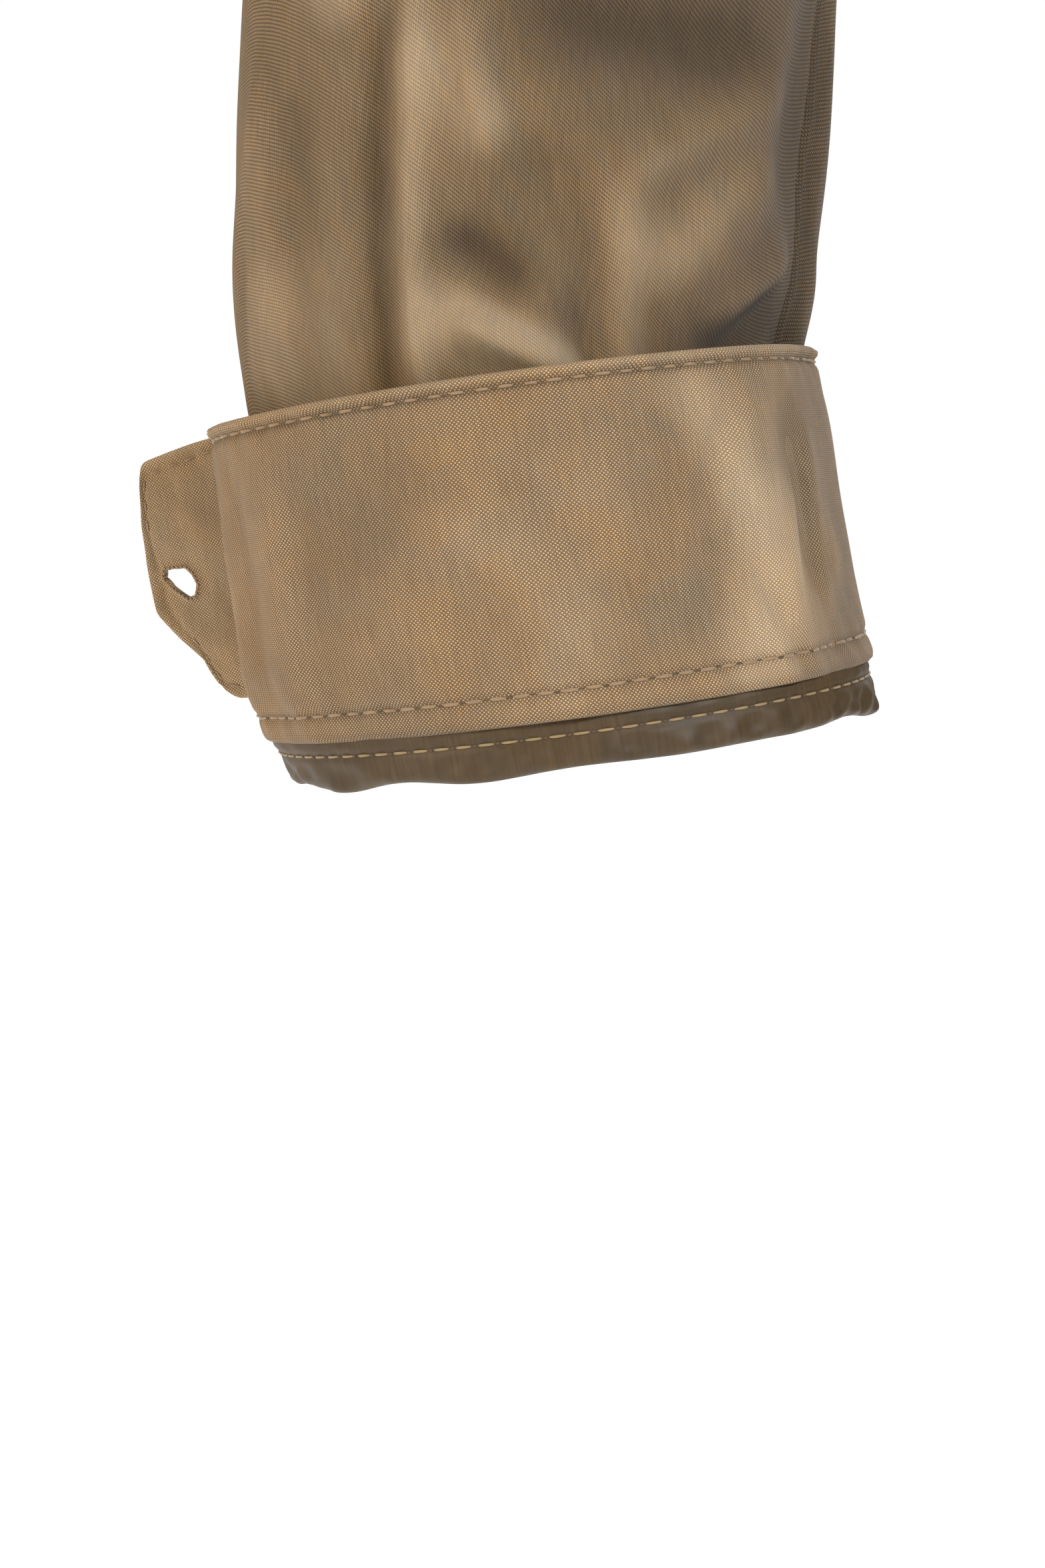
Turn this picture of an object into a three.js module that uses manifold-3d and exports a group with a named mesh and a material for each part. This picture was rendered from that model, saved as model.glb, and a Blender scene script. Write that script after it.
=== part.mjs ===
// A hip-length beekeeping jacket in woven cloth, lined, in the shape it has when worn: two fronts and a back,
// two-piece sleeves with turned-back cuffs, a collar on a stand, a front zip and three flapped pockets.
// Millimetres. +Z is up and the wearer faces -Y, so the wearer's right sleeve is on the -X side. The origin
// is in the middle of the neck, level with the two points where the shoulder seams meet the collar.
import * as THREE from "three";
import { mergeVertices } from "three/addons/utils/BufferGeometryUtils.js";
import Module from "manifold-3d";

const wasm = await Module();
wasm.setup();

// ---- Driving dimensions ----
const BODY = { hem: -680, waist: -430, chest: -240, squareness: 2.6, shoulderRound: 80 };
const HALF_WIDTH = [[BODY.hem, 214], [BODY.waist, 198], [BODY.chest, 203], [-40, 224]];
const BACK_DEPTH = [[BODY.hem, 128], [BODY.waist, 102], [-150, 116], [0, 88]];
const FRONT_EDGE = { top: -85, topDepth: 92, hemDepth: 138, gap: 5.7 };
const NECK = { halfWidth: 80, frontDrop: 85, backDrop: 22 };
const SHOULDER = { tip: 215, slope: THREE.MathUtils.degToRad(19.5) };
const ARMHOLE = { bottom: -222, front: [[170, -218], [172, -110]], back: [[185, -220], [190, -120]] };

const ARM_PATH = [[198, 0, -140], [330, 0, -270], [345, 6, -480], [346, -4, -648]];
const SLEEVE = { seamBack: -54, seamFront: 162, headEnd: 0.2, capBlend: 0.24, capRise: 9, columns: 20 };
const OUTER_REACH = [[0, 56], [0.2, 60], [0.5, 54], [0.78, 49.2], [0.88, 48.4], [1, 44.5]];
const INNER_REACH = [[0, 52], [0.2, 53], [0.5, 53], [0.78, 46.5], [0.85, 45.6], [0.885, 42.6], [1, 42]];
const SLEEVE_DEPTH = [[0, 60], [0.2, 64], [0.5, 56], [0.78, 43], [0.88, 38.5], [1, 37.5]];

const CUFF = { height: 58, halfWidth: 50.2, halfDepth: 46, tilt: THREE.MathUtils.degToRad(7.7), topX: 348,
  foldX: 336.5, foldY: -2, foldZ: -648.7, liningShow: 7.5, columns: 24 };
const TAB = { angle: -52, low: 13, height: 46, length: 41.5, crown: 49.5, endTop: 47.5, endLow: 19, foot: 28,
  standOff: 2.2, splay: 6, thick: 1.4, holeX: 35.8, holeZ: 25, holeLong: 3.1, holeWide: 2 };
const CUFF_BUTTON = { angle: -82, up: 0.62, radius: 7, thick: 2.6, standOff: 0.5 };

const CLOTH = 1.2;
const PANEL_CELLS = [6, 11];
const LINING = { near: 1.6, far: 2.2 };
const SEAM_GAP = 0.4;
const COLLAR = {
  stand: 30, leanIn: 5, backFall: 20, frontFall: 46, arch: 5, thick: 1.6, frontStart: 5, spread: 8,
};
const ZIP = { depth: 4.2, tapeWidth: 17, teethReach: 3.2, teethThick: 2.4, centreGap: 0.6, sliderAt: 13,
  pullPivot: 0.3 };
const POCKET = { near: 1.2, far: 2.4 };
const FLAP = { near: 4.2, far: 5.4 };
const HIP_POCKET = { from: 48, to: 152, top: -486, bottom: -640, flapTop: -474, flapBottom: -528 };
const CHEST_POCKET = { from: 52, to: 140, top: -222, bottom: -318, flapTop: -212, flapBottom: -254 };

// ---- Materials ----
const finish = (color, roughness, metalness = 0) =>
  new THREE.MeshStandardMaterial({ color, roughness, metalness });
const canvas = finish(0xa38a6a, 0.85);
const satin = finish(0x63503b, 0.45);
const tapeCloth = finish(0x6f5d46, 0.8);
const brass = finish(0x8c7448, 0.35, 1);
const horn = finish(0x4b3a2a, 0.4);

// ---- Shapes of the body ----
const { sin, cos, tan, abs, sqrt, sign, min, max, PI } = Math;
const RAD = PI / 180;

// A profile given by a few (place, value) pairs, eased between them with half cosine waves.
function along(knots, at) {
  if (at <= knots[0][0]) return knots[0][1];
  for (let k = 1; k < knots.length; k++) {
    const [a, va] = knots[k - 1], [b, vb] = knots[k];
    if (at <= b) return va + (vb - va) * (1 - cos(PI * (at - a) / (b - a))) / 2;
  }
  return knots[knots.length - 1][1];
}

const shoulderLine = (x) => -max(0, abs(x) - NECK.halfWidth) * tan(SHOULDER.slope);
const frontDepth = (z) => FRONT_EDGE.topDepth + (FRONT_EDGE.hemDepth - FRONT_EDGE.topDepth)
  * (FRONT_EDGE.top - z) / (FRONT_EDGE.top - BODY.hem);

// The body's outer surface over (x, z): a squared-off ellipse at each height, rounded over the shoulders.
// face is -1 on the front and 1 on the back.
function bodyPoint(face, x, z) {
  const share = min(1, abs(x) / along(HALF_WIDTH, z));
  const section = (1 - share ** BODY.squareness) ** (1 / BODY.squareness);
  const below = min(1, max(0, shoulderLine(x) - z) / BODY.shoulderRound);
  const depth = face < 0 ? frontDepth(z) : along(BACK_DEPTH, z);
  return new THREE.Vector3(x, face * depth * section * sqrt(1 - (1 - below) ** 2), z);
}

function bezier2(a, b, c, d, t) {
  const u = 1 - t;
  return [0, 1].map((k) => u * u * u * a[k] + 3 * u * u * t * b[k] + 3 * u * t * t * c[k] + t * t * t * d[k]);
}

// The edge of an armhole in (x, z), from the underarm at 0 to the shoulder tip at 1.
function armholeEdge(face, t) {
  const [near, far] = face < 0 ? ARMHOLE.front : ARMHOLE.back;
  const tip = [SHOULDER.tip, shoulderLine(SHOULDER.tip)];
  return bezier2([along(HALF_WIDTH, ARMHOLE.bottom), ARMHOLE.bottom], near, far, tip, t);
}

// One half of the front or back as a grid over its pattern: u runs from the centre line to the side, v from
// the hem to the neck and shoulder. Each edge follows its seam and the inside is blended between the edges.
function bodyGrid(face, side, centre, nu, nv) {
  const underarm = 0.58, neckShare = 0.42;
  const drop = face < 0 ? NECK.frontDrop : NECK.backDrop;
  const sideEdge = (v) => {
    if (v > underarm) return armholeEdge(face, (v - underarm) / (1 - underarm));
    const z = BODY.hem + (ARMHOLE.bottom - BODY.hem) * v / underarm;
    return [along(HALF_WIDTH, z), z];
  };
  const topEdge = (u) => {
    const start = Math.asin(centre / NECK.halfWidth);
    const a = start + (PI / 2 - start) * min(1, u / neckShare);
    if (u <= neckShare) return [NECK.halfWidth * sin(a), -drop * cos(a)];
    const x = NECK.halfWidth + (SHOULDER.tip - NECK.halfWidth) * (u - neckShare) / (1 - neckShare);
    return [x, shoulderLine(x)];
  };
  const hemEdge = (u) => {
    const half = along(HALF_WIDTH, BODY.hem);
    return [centre + (half - centre) * sin(u * PI / 2), BODY.hem];
  };
  const mix = (a, b, share) => a + (b - a) * share;
  const point = (v, u) => {
    const left = [centre, mix(BODY.hem, topEdge(0)[1], v)], right = sideEdge(v);
    const low = hemEdge(u), high = topEdge(u);
    const w = mix(sin(u * PI / 2), u, v);
    const [x, z] = [0, 1].map((k) => {
      const corners = mix(mix(hemEdge(0)[k], hemEdge(1)[k], w), mix(topEdge(0)[k], topEdge(1)[k], w), v);
      return mix(left[k], right[k], w) + mix(low[k], high[k], v) - corners;
    });
    return bodyPoint(face, x, min(z, shoulderLine(x))).setX(side * x);
  };
  return gridOf(point, 0, 1, nv, 0, 1, nu);
}

// ---- Shapes of the sleeves, drawn for the +X side and mirrored for the other ----
const armPath = new THREE.CubicBezierCurve3(...ARM_PATH.map((p) => new THREE.Vector3(...p)));

// The armhole as a closed loop: 0 at the shoulder tip, 90 at its front, 180 at the underarm, 270 at its back.
function armholeLoop(degrees) {
  const turn = ((degrees % 360) + 360) % 360;
  const face = turn < 180 ? -1 : 1;
  const [x, z] = armholeEdge(face, abs(turn - 180) / 180);
  return bodyPoint(face, x, z);
}

// A sleeve's outer surface: s runs from the armhole to the fold of the cuff, and degrees run as in
// armholeLoop.
function sleevePoint(s, degrees) {
  const c = armPath.getPoint(s), d = armPath.getTangent(s);
  const out = new THREE.Vector3(-d.z, 0, d.x).normalize(), front = new THREE.Vector3().crossVectors(d, out);
  if (front.y > 0) front.negate();
  const a = degrees * RAD, deep = along(SLEEVE_DEPTH, s);
  const reach = along(cos(a) > 0 ? OUTER_REACH : INNER_REACH, s);
  const tube = c.clone().addScaledVector(out, reach * cos(a)).addScaledVector(front, deep * sin(a));
  const toFold = THREE.MathUtils.smoothstep(s, 0.85, 1);
  tube.x += (CUFF.foldX - ARM_PATH[3][0]) * toFold;
  tube.z -= (tube.x - CUFF.foldX) * tan(CUFF.tilt) * toFold;
  const cap = armholeLoop(degrees).addScaledVector(d, 300 * s * (1 - s));
  const rise = SLEEVE.capRise * sin(PI * min(1, s / SLEEVE.capBlend)) * ((1 + cos(a)) / 2) ** 2;
  return cap.lerp(tube, THREE.MathUtils.smoothstep(s, 0, SLEEVE.capBlend)).addScaledVector(out, rise);
}

// The turned-back cuff: t is 0 at the fold and 1 at the cuff's free edge.
function cuffPoint(t, degrees) {
  const a = degrees * RAD, cx = CUFF.foldX + (CUFF.topX - CUFF.foldX) * t;
  const x = CUFF.halfWidth * cos(a), y = -CUFF.halfDepth * sin(a);
  return new THREE.Vector3(cx + x, CUFF.foldY + y, CUFF.foldZ + CUFF.height * t - x * tan(CUFF.tilt));
}

function gridOf(point, from, to, rows, start, end, columns) {
  const grid = [];
  for (let j = 0; j <= rows; j++) {
    const row = [];
    for (let i = 0; i <= columns; i++)
      row.push(point(from + (to - from) * j / rows, start + (end - start) * i / columns));
    grid.push(row);
  }
  return grid;
}

const mirrored = (grid, side) => grid.map((row) => row.map((p) => new THREE.Vector3(side * p.x, p.y, p.z)));

// ---- Turning a grid of points into a closed sheet ----

// The unit normal at each grid point of an open grid, turned to the side that outward() names.
function normalsOf(grid, outward) {
  const rows = grid.length, columns = grid[0].length;
  const at = (j, i) => grid[min(rows - 1, max(0, j))][min(columns - 1, max(0, i))];
  return grid.map((row, j) => row.map((p, i) => {
    const du = at(j, i + 1).clone().sub(at(j, i - 1)), dv = at(j + 1, i).clone().sub(at(j - 1, i));
    const n = du.cross(dv).normalize();
    return n.dot(outward(p)) < 0 ? n.negate() : n;
  }));
}

// A closed body between two offsets of a grid, measured along its normals.
function sheet(grid, normals, inner, outer, round = false) {
  const rows = grid.length, columns = grid[0].length, last = columns - 1, position = [], index = [];
  for (const offset of [inner, outer])
    grid.forEach((row, j) => row.forEach((p, i) => {
      position.push(...p.clone().addScaledVector(normals[j][i], offset).toArray());
    }));
  const id = (layer, j, i) => (layer * rows + j) * columns + (round ? i % columns : i);
  const quad = (a, b, c, d) => index.push(a, b, c, a, c, d);
  const across = round ? columns : last;
  for (let j = 0; j < rows - 1; j++)
    for (let i = 0; i < across; i++) {
      quad(id(1, j, i), id(1, j, i + 1), id(1, j + 1, i + 1), id(1, j + 1, i));
      quad(id(0, j, i), id(0, j + 1, i), id(0, j + 1, i + 1), id(0, j, i + 1));
    }
  for (let i = 0; i < across; i++) {
    quad(id(0, 0, i), id(0, 0, i + 1), id(1, 0, i + 1), id(1, 0, i));
    quad(id(0, rows - 1, i + 1), id(0, rows - 1, i), id(1, rows - 1, i), id(1, rows - 1, i + 1));
  }
  if (!round)
    for (let j = 0; j < rows - 1; j++) {
      quad(id(0, j + 1, 0), id(0, j, 0), id(1, j, 0), id(1, j + 1, 0));
      quad(id(0, j, last), id(0, j + 1, last), id(1, j + 1, last), id(1, j, last));
    }
  const made = new THREE.BufferGeometry();
  made.setAttribute("position", new THREE.Float32BufferAttribute(position, 3));
  made.setIndex(volumeOf(position, index) < 0 ? index.reverse() : index);
  return made;
}

function volumeOf(position, index) {
  let six = 0;
  const v = (k) => new THREE.Vector3().fromArray(position, 3 * k);
  for (let k = 0; k < index.length; k += 3) six += v(index[k]).dot(v(index[k + 1]).cross(v(index[k + 2])));
  return six;
}

// Draws the edges of a grid in by a small gap, so that neighbours across a seam don't touch.
function drawnIn(grid, gap = SEAM_GAP) {
  const pull = (p, towards) => p.addScaledVector(towards.clone().sub(p).normalize(), gap);
  for (const row of grid) {
    pull(row[0], row[1]);
    pull(row[row.length - 1], row[row.length - 2]);
  }
  const last = grid.length - 1;
  grid[0].forEach((p, i) => pull(p, grid[1][i]));
  grid[last].forEach((p, i) => pull(p, grid[last - 1][i]));
  return grid;
}

// ---- Solids joined and cut ----
function solid(geometry) {
  const bare = geometry.index ? geometry.toNonIndexed() : geometry.clone();
  bare.deleteAttribute("normal");
  bare.deleteAttribute("uv");
  const merged = mergeVertices(bare, 1e-3);
  return new wasm.Manifold(new wasm.Mesh({ numProp: 3, vertProperties: merged.attributes.position.array,
    triVerts: new Uint32Array(merged.index.array) }));
}

function shapeOf(body) {
  const { vertProperties, triVerts } = body.getMesh();
  const made = new THREE.BufferGeometry();
  made.setAttribute("position", new THREE.BufferAttribute(new Float32Array(vertProperties), 3));
  return made.setIndex(new THREE.BufferAttribute(new Uint32Array(triVerts), 1));
}

const block = (x, y, z, at = [0, 0, 0]) => new THREE.BoxGeometry(x, y, z).translate(...at);

// ---- The jacket ----
const jacket = new THREE.Group();

function add(name, geometry, material, parent = jacket) {
  const mesh = new THREE.Mesh(geometry, material);
  mesh.name = name;
  parent.add(mesh);
  return mesh;
}

const fromSpine = (p) => new THREE.Vector3(p.x, p.y, max(0, p.z + 150) * 0.9);

// The normals of a body panel. On a seam they are squared to it, so that both sides of the seam agree.
function bodyNormals(grid) {
  const normals = normalsOf(grid, fromSpine);
  grid.forEach((row, j) => row.forEach((p, i) => {
    const onSide = p.z < ARMHOLE.bottom + 1, onShoulder = p.z > shoulderLine(p.x) - 2;
    if (abs(p.y) < 3 && (onSide || onShoulder)) normals[j][i].setY(0).normalize();
  }));
  return normals;
}

// The back is both of its halves in one grid; each front is one half.
function backGrid() {
  const right = bodyGrid(1, -1, 0, ...PANEL_CELLS), left = bodyGrid(1, 1, 0, ...PANEL_CELLS);
  return right.map((row, j) => [...row.slice(1).reverse(), ...left[j]]);
}

function bodyPanels() {
  const panels = { back: backGrid(), left_front: bodyGrid(-1, 1, FRONT_EDGE.gap, ...PANEL_CELLS),
    right_front: bodyGrid(-1, -1, FRONT_EDGE.gap, ...PANEL_CELLS) };
  for (const [name, grid] of Object.entries(panels)) {
    const normals = bodyNormals(grid);
    drawnIn(grid);
    add(`${name}_panel`, sheet(grid, normals, -CLOTH, 0), canvas);
    add(`${name}_lining`, sheet(grid, normals, -LINING.far, -LINING.near), satin);
  }
}

// A patch of cloth lying on a front, such as a pocket or its flap.
function frontPatch(side, { from, to }, bottom, top, near, far, rows) {
  const grid = gridOf((z, x) => bodyPoint(-1, x, z).setX(side * x), bottom, top, rows, from, to, 6);
  return sheet(grid, normalsOf(grid, fromSpine), near, far);
}

// A round fastener standing on a front at (x, z), its flat side to the cloth.
function frontStud(side, x, z, radius, near, far) {
  const p = bodyPoint(-1, x, z).setX(side * x);
  const across = bodyPoint(-1, x + 1, z).sub(bodyPoint(-1, x - 1, z));
  const up = bodyPoint(-1, x, z + 1).sub(bodyPoint(-1, x, z - 1));
  const n = across.cross(up).normalize();
  if (n.y > 0) n.negate();
  n.setX(side * n.x);
  const stud = new THREE.CylinderGeometry(radius, radius, far - near, 20);
  stud.translate(0, (near + far) / 2, 0);
  stud.applyQuaternion(new THREE.Quaternion().setFromUnitVectors(new THREE.Vector3(0, 1, 0), n));
  return stud.translate(p.x, p.y, p.z);
}

function pocket(name, side, size) {
  const middle = (size.from + size.to) / 2, snap = size.flapBottom + 13;
  const flap = frontPatch(side, size, size.flapBottom, size.flapTop, FLAP.near, FLAP.far, 3);
  add(`${name}_pocket`, frontPatch(side, size, size.bottom, size.top, POCKET.near, POCKET.far, 6), canvas);
  add(`${name}_pocket_flap`, flap, canvas);
  add(`${name}_pocket_stud`, frontStud(side, middle, snap, 5, POCKET.far + 0.4, FLAP.near - 0.4), brass);
  add(`${name}_pocket_snap_cap`, frontStud(side, middle, snap, 7.5, FLAP.far + 0.4, FLAP.far + 2.6), brass);
}

// ---- Collar and hanging loop ----

// The neck seam as an open ring: 0 is the front, 90 the wearer's left, 180 the middle of the back.
function neckSeam(degrees, grow = 0, fall = 0) {
  const a = degrees * RAD, face = cos(a) > 0 ? -1 : 1;
  const drop = (face < 0 ? NECK.frontDrop : NECK.backDrop) + fall;
  const x = (NECK.halfWidth + grow) * sin(a);
  return bodyPoint(face, x, min(-drop * abs(cos(a)), shoulderLine(x)));
}

function collarEdge(degrees) {
  const a = degrees * RAD;
  return neckSeam(degrees).multiply(new THREE.Vector3(1 - COLLAR.leanIn / NECK.halfWidth, 0.93, 1))
    .add(new THREE.Vector3(0, 4 * cos(a), COLLAR.stand));
}

function collar() {
  const start = COLLAR.frontStart, end = 360 - COLLAR.frontStart;
  const outward = (p) => new THREE.Vector3(p.x, p.y + 10, 0);
  const raised = (p, z) => p.add(new THREE.Vector3(0, 0, z));
  const foot = (a) => raised(neckSeam(a).multiply(new THREE.Vector3(0.975, 0.97, 1)), 3.5);
  const standPoint = (t, a) => foot(a).lerp(collarEdge(a), t);
  const stand = gridOf(standPoint, 0, 1, 2, start, end, 24);
  add("collar_stand", sheet(stand, normalsOf(stand, outward), -COLLAR.thick, 0), canvas);
  const leafPoint = (t, a) => {
    const reach = COLLAR.backFall + (COLLAR.frontFall - COLLAR.backFall) * max(0, cos(a * RAD)) ** 2;
    const top = raised(collarEdge(a).add(outward(neckSeam(a)).setLength(2.4)), 1);
    const low = neckSeam(180 + (a - 180) * (1 - COLLAR.spread / 180), reach * 0.95, reach * 0.8);
    low.add(outward(low).setLength(6));
    return raised(top.lerp(raised(low, 5), t), COLLAR.arch * sin(PI * t));
  };
  const leaf = gridOf(leafPoint, 0, 1, 4, start, end, 24);
  const upAndOut = normalsOf(leaf, (p) => new THREE.Vector3(p.x, p.y, 60));
  add("collar_leaf", sheet(leaf, upAndOut, 0, COLLAR.thick), canvas);
}

function hangingLoop() {
  const width = 5, thick = 1.4, half = 34, stand = 11, foot = neckSeam(180);
  const line = [[-half, 0], [-half + 9, 0.6], [-half + 16, stand * 0.8], [0, stand], [half - 16, stand * 0.8],
    [half - 9, 0.6], [half, 0]];
  const path = new THREE.CatmullRomCurve3(line.map(([x, y]) =>
    new THREE.Vector3(x, foot.y - 11 - y, foot.z + 12)));
  const corners = [[-1, -1], [1, -1], [1, 1], [-1, 1]];
  const band = new THREE.Shape(corners.map(([x, y]) => new THREE.Vector2(x * width / 2, y * thick / 2)));
  add("hanging_loop", new THREE.ExtrudeGeometry(band, { steps: 16, extrudePath: path }), canvas);
}

// ---- Front zip, drawn upright at its top end and tilted with the front edge ----
function frontZip() {
  const rise = FRONT_EDGE.top - BODY.hem, run = FRONT_EDGE.hemDepth - FRONT_EDGE.topDepth;
  const long = sqrt(rise * rise + run * run) - 6;
  const zip = new THREE.Group();
  zip.position.set(0, -FRONT_EDGE.topDepth, FRONT_EDGE.top);
  zip.rotation.x = -Math.atan2(run, rise);
  jacket.add(zip);
  const { depth, teethReach, teethThick, centreGap, tapeWidth, sliderAt, pullPivot } = ZIP;
  const chain = long - 16, teethWide = teethReach - centreGap, teethX = (teethReach + centreGap) / 2;
  for (const [name, side] of [["left", 1], ["right", -1]]) {
    const tapeX = side * (teethReach + 0.4 + tapeWidth / 2), tape = [tapeX, depth, -long / 2 - 2];
    const teeth = [side * teethX, depth, -chain / 2 - 6];
    add(`${name}_zip_tape`, block(tapeWidth, 0.8, long, tape), tapeCloth, zip);
    add(`${name}_zip_teeth`, block(teethWide, teethThick, chain, teeth), brass, zip);
    add(`${name}_zip_top_stop`, block(2.4, 3, 3.4, [side * 2, depth, -3.4]), brass, zip);
  }
  add("zip_retainer_box", block(6.4, 4.4, 9, [0, depth, -chain - 11]), brass, zip);
  const slider = add("zip_slider", zipSlider(depth), brass, zip);
  slider.position.z = -sliderAt;
  const pull = add("zip_pull", zipPull(), brass, zip);
  pull.position.set(0, pullPivot, -sliderAt);
}

// Two plates, one on each side of the teeth, a web between the rows, and a bridge that the pull hangs on.
function zipSlider(depth) {
  const frontPlate = depth - 2.1, backPlate = depth + 2.1, bridgeTop = -1.6;
  const pieces = [block(10.5, 1, 14, [0, frontPlate, 0]), block(10.5, 1, 14, [0, backPlate, 0]),
    block(0.5, backPlate - frontPlate, 4, [0, depth, 4.6]), block(1.8, 1, 8, [0, bridgeTop, 0])];
  for (const end of [-1, 1])
    pieces.push(block(1.8, frontPlate - bridgeTop, 1.2, [0, (frontPlate + bridgeTop) / 2, 3.4 * end]));
  return shapeOf(pieces.map(solid).reduce((whole, piece) => whole.add(piece)));
}

// A flat pull hanging from its crossbar, which turns under the bridge. The slot round the bridge is its eye.
function zipPull() {
  const bar = 0.6, half = 3.4, tip = 4.2, reach = 26, thick = 1.2, slotHalf = 1.5, slotEnd = 4.9;
  const slot = [[-slotHalf, -slotEnd], [slotHalf, -slotEnd], [slotHalf, -bar], [-slotHalf, -bar]];
  const outline = new THREE.Shape();
  outline.absarc(0, -reach, tip, 0, PI, true);
  outline.lineTo(-half, bar);
  outline.lineTo(half, bar);
  outline.holes.push(new THREE.Path(slot.map(([x, y]) => new THREE.Vector2(x, y))));
  const pull = new THREE.ExtrudeGeometry(outline, { depth: thick, bevelEnabled: false, curveSegments: 8 });
  return pull.translate(0, 0, -thick / 2).rotateX(PI / 2);
}

// ---- Sleeves ----
const fromArm = (side) => (p) => {
  const share = THREE.MathUtils.clamp((-p.z - 140) / 508, 0, 1), c = armPath.getPoint(share);
  return new THREE.Vector3(p.x - side * c.x, p.y - c.y, 0);
};

// One sheet of a sleeve, between two places along it and two angles round it.
function sleeveSheet(side, from, to, rows, start, end, columns, inner, outer) {
  const grid = mirrored(gridOf(sleevePoint, from, to, rows, start, end, columns), side);
  const normals = mirrored(gridOf(sleeveNormal, from, to, rows, start, end, columns), side);
  return sheet(grid, normals, inner, outer);
}

// A sheet all the way round a sleeve. Its columns line up with those of the pieces outside it.
function sleeveTube(side, from, to, rows, inner, outer) {
  const { columns, seamBack } = SLEEVE, last = seamBack + 360 - 360 / columns;
  const grid = mirrored(gridOf(sleevePoint, from, to, rows, seamBack, last, columns - 1), side);
  const normals = mirrored(gridOf(sleeveNormal, from, to, rows, seamBack, last, columns - 1), side);
  return sheet(grid, normals, inner, outer, true);
}

function sleeveNormal(s, degrees) {
  const ds = 0.004, low = min(s + ds, 1), high = max(s - ds, 0);
  const around = sleevePoint(s, degrees + 2).sub(sleevePoint(s, degrees - 2));
  const down = sleevePoint(low, degrees).sub(sleevePoint(high, degrees));
  const n = around.cross(down).normalize();
  return n.dot(fromArm(1)(sleevePoint(s, degrees))) < 0 ? n.negate() : n;
}

function ovalHole(x, y, halfLong, halfWide, sides) {
  const turn = (k) => 2 * PI * k / sides;
  return new THREE.Path(Array.from({ length: sides },
    (_, k) => new THREE.Vector2(x + halfLong * cos(turn(k)), y + halfWide * sin(turn(k)))));
}

// The tab as a flat outline, x out from its root at the vent and y up. Its top edge is highest in the middle.
function tabOutline() {
  const { height, length, crown, endTop, endLow, foot } = TAB, corner = 2.2;
  const outline = new THREE.Shape();
  outline.moveTo(0, 0);
  outline.lineTo(0, height);
  outline.quadraticCurveTo(length * 0.45, crown + 1.5, length - 2.2 - corner, endTop);
  outline.quadraticCurveTo(length - 2.2, endTop, length - 2, endTop - corner);
  outline.lineTo(length, endLow + 6);
  outline.quadraticCurveTo(length, endLow, length - 3.6, endLow - 5);
  outline.quadraticCurveTo(length - 9, endLow - 12, foot, 1);
  outline.closePath();
  outline.holes.push(ovalHole(TAB.holeX, TAB.holeZ, TAB.holeLong, TAB.holeWide, 14));
  return outline;
}

function cuffTab(side) {
  const { low, thick, standOff, splay, angle } = TAB;
  const across = { depth: thick, bevelEnabled: false, curveSegments: 6 };
  const tab = new THREE.ExtrudeGeometry(tabOutline(), across);
  tab.rotateX(PI / 2);
  const root = cuffPoint(low / CUFF.height, angle);
  const lean = Math.atan2(CUFF.topX - CUFF.foldX, CUFF.height);
  tab.rotateY(lean).rotateZ(splay * RAD);
  const placed = tab.translate(root.x, root.y + standOff + thick, root.z);
  return side > 0 ? placed : mirroredShape(placed);
}

// The same shape on the other side, with its faces turned round to point outwards again.
function mirroredShape(geometry) {
  const flat = geometry.index ? geometry.toNonIndexed() : geometry;
  const a = flat.attributes.position.array.slice();
  for (let k = 0; k < a.length; k += 3) a[k] = -a[k];
  for (let k = 0; k < a.length; k += 9)
    for (let m = 0; m < 3; m++) [a[k + 3 + m], a[k + 6 + m]] = [a[k + 6 + m], a[k + 3 + m]];
  const made = new THREE.BufferGeometry();
  return made.setAttribute("position", new THREE.BufferAttribute(a, 3));
}

function sleeve(name, side) {
  const { headEnd, seamBack, seamFront, columns } = SLEEVE, gap = 0.5;
  const head = [0.012, headEnd - 0.002], low = [headEnd, 0.985];
  add(`${name}_sleeve_head`, sleeveTube(side, ...head, 3, -CLOTH, 0), canvas);
  add(`${name}_sleeve_head_lining`, sleeveTube(side, ...head, 3, -LINING.far, -LINING.near), satin);
  const top = [seamBack + gap, seamFront - gap], under = [seamFront + gap, seamBack + 360 - gap];
  const topColumns = columns * (seamFront - seamBack) / 360, underColumns = columns - topColumns;
  add(`${name}_top_sleeve`, sleeveSheet(side, ...low, 8, ...top, topColumns, -CLOTH, 0), canvas);
  add(`${name}_under_sleeve`, sleeveSheet(side, ...low, 8, ...under, underColumns, -CLOTH, 0), canvas);
  add(`${name}_sleeve_lining`, sleeveTube(side, ...low, 8, -LINING.far, -LINING.near), satin);
}

const cuffNormal = (t, degrees) =>
  new THREE.Vector3(cos(degrees * RAD) / CUFF.halfWidth, -sin(degrees * RAD) / CUFF.halfDepth, 0).normalize();

function cuff(name, side) {
  const { columns, liningShow, height } = CUFF, fold = liningShow / height;
  const ring = (point, from, to, rows) =>
    mirrored(gridOf(point, from, to, rows, 0, 360 - 360 / columns, columns - 1), side);
  const band = (from, to, rows, inner, outer) =>
    sheet(ring(cuffPoint, from, to, rows), ring(cuffNormal, from, to, rows), inner, outer, true);
  add(`${name}_turned_cuff`, band(fold, 1, 2, -1.4, 0), canvas);
  add(`${name}_cuff_fold_lining`, band(0, fold - 0.006, 1, -1.4, -0.2), satin);
  add(`${name}_cuff_tab`, cuffTab(side), canvas);
  add(`${name}_cuff_button`, cuffButton(side), horn);
}

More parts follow.
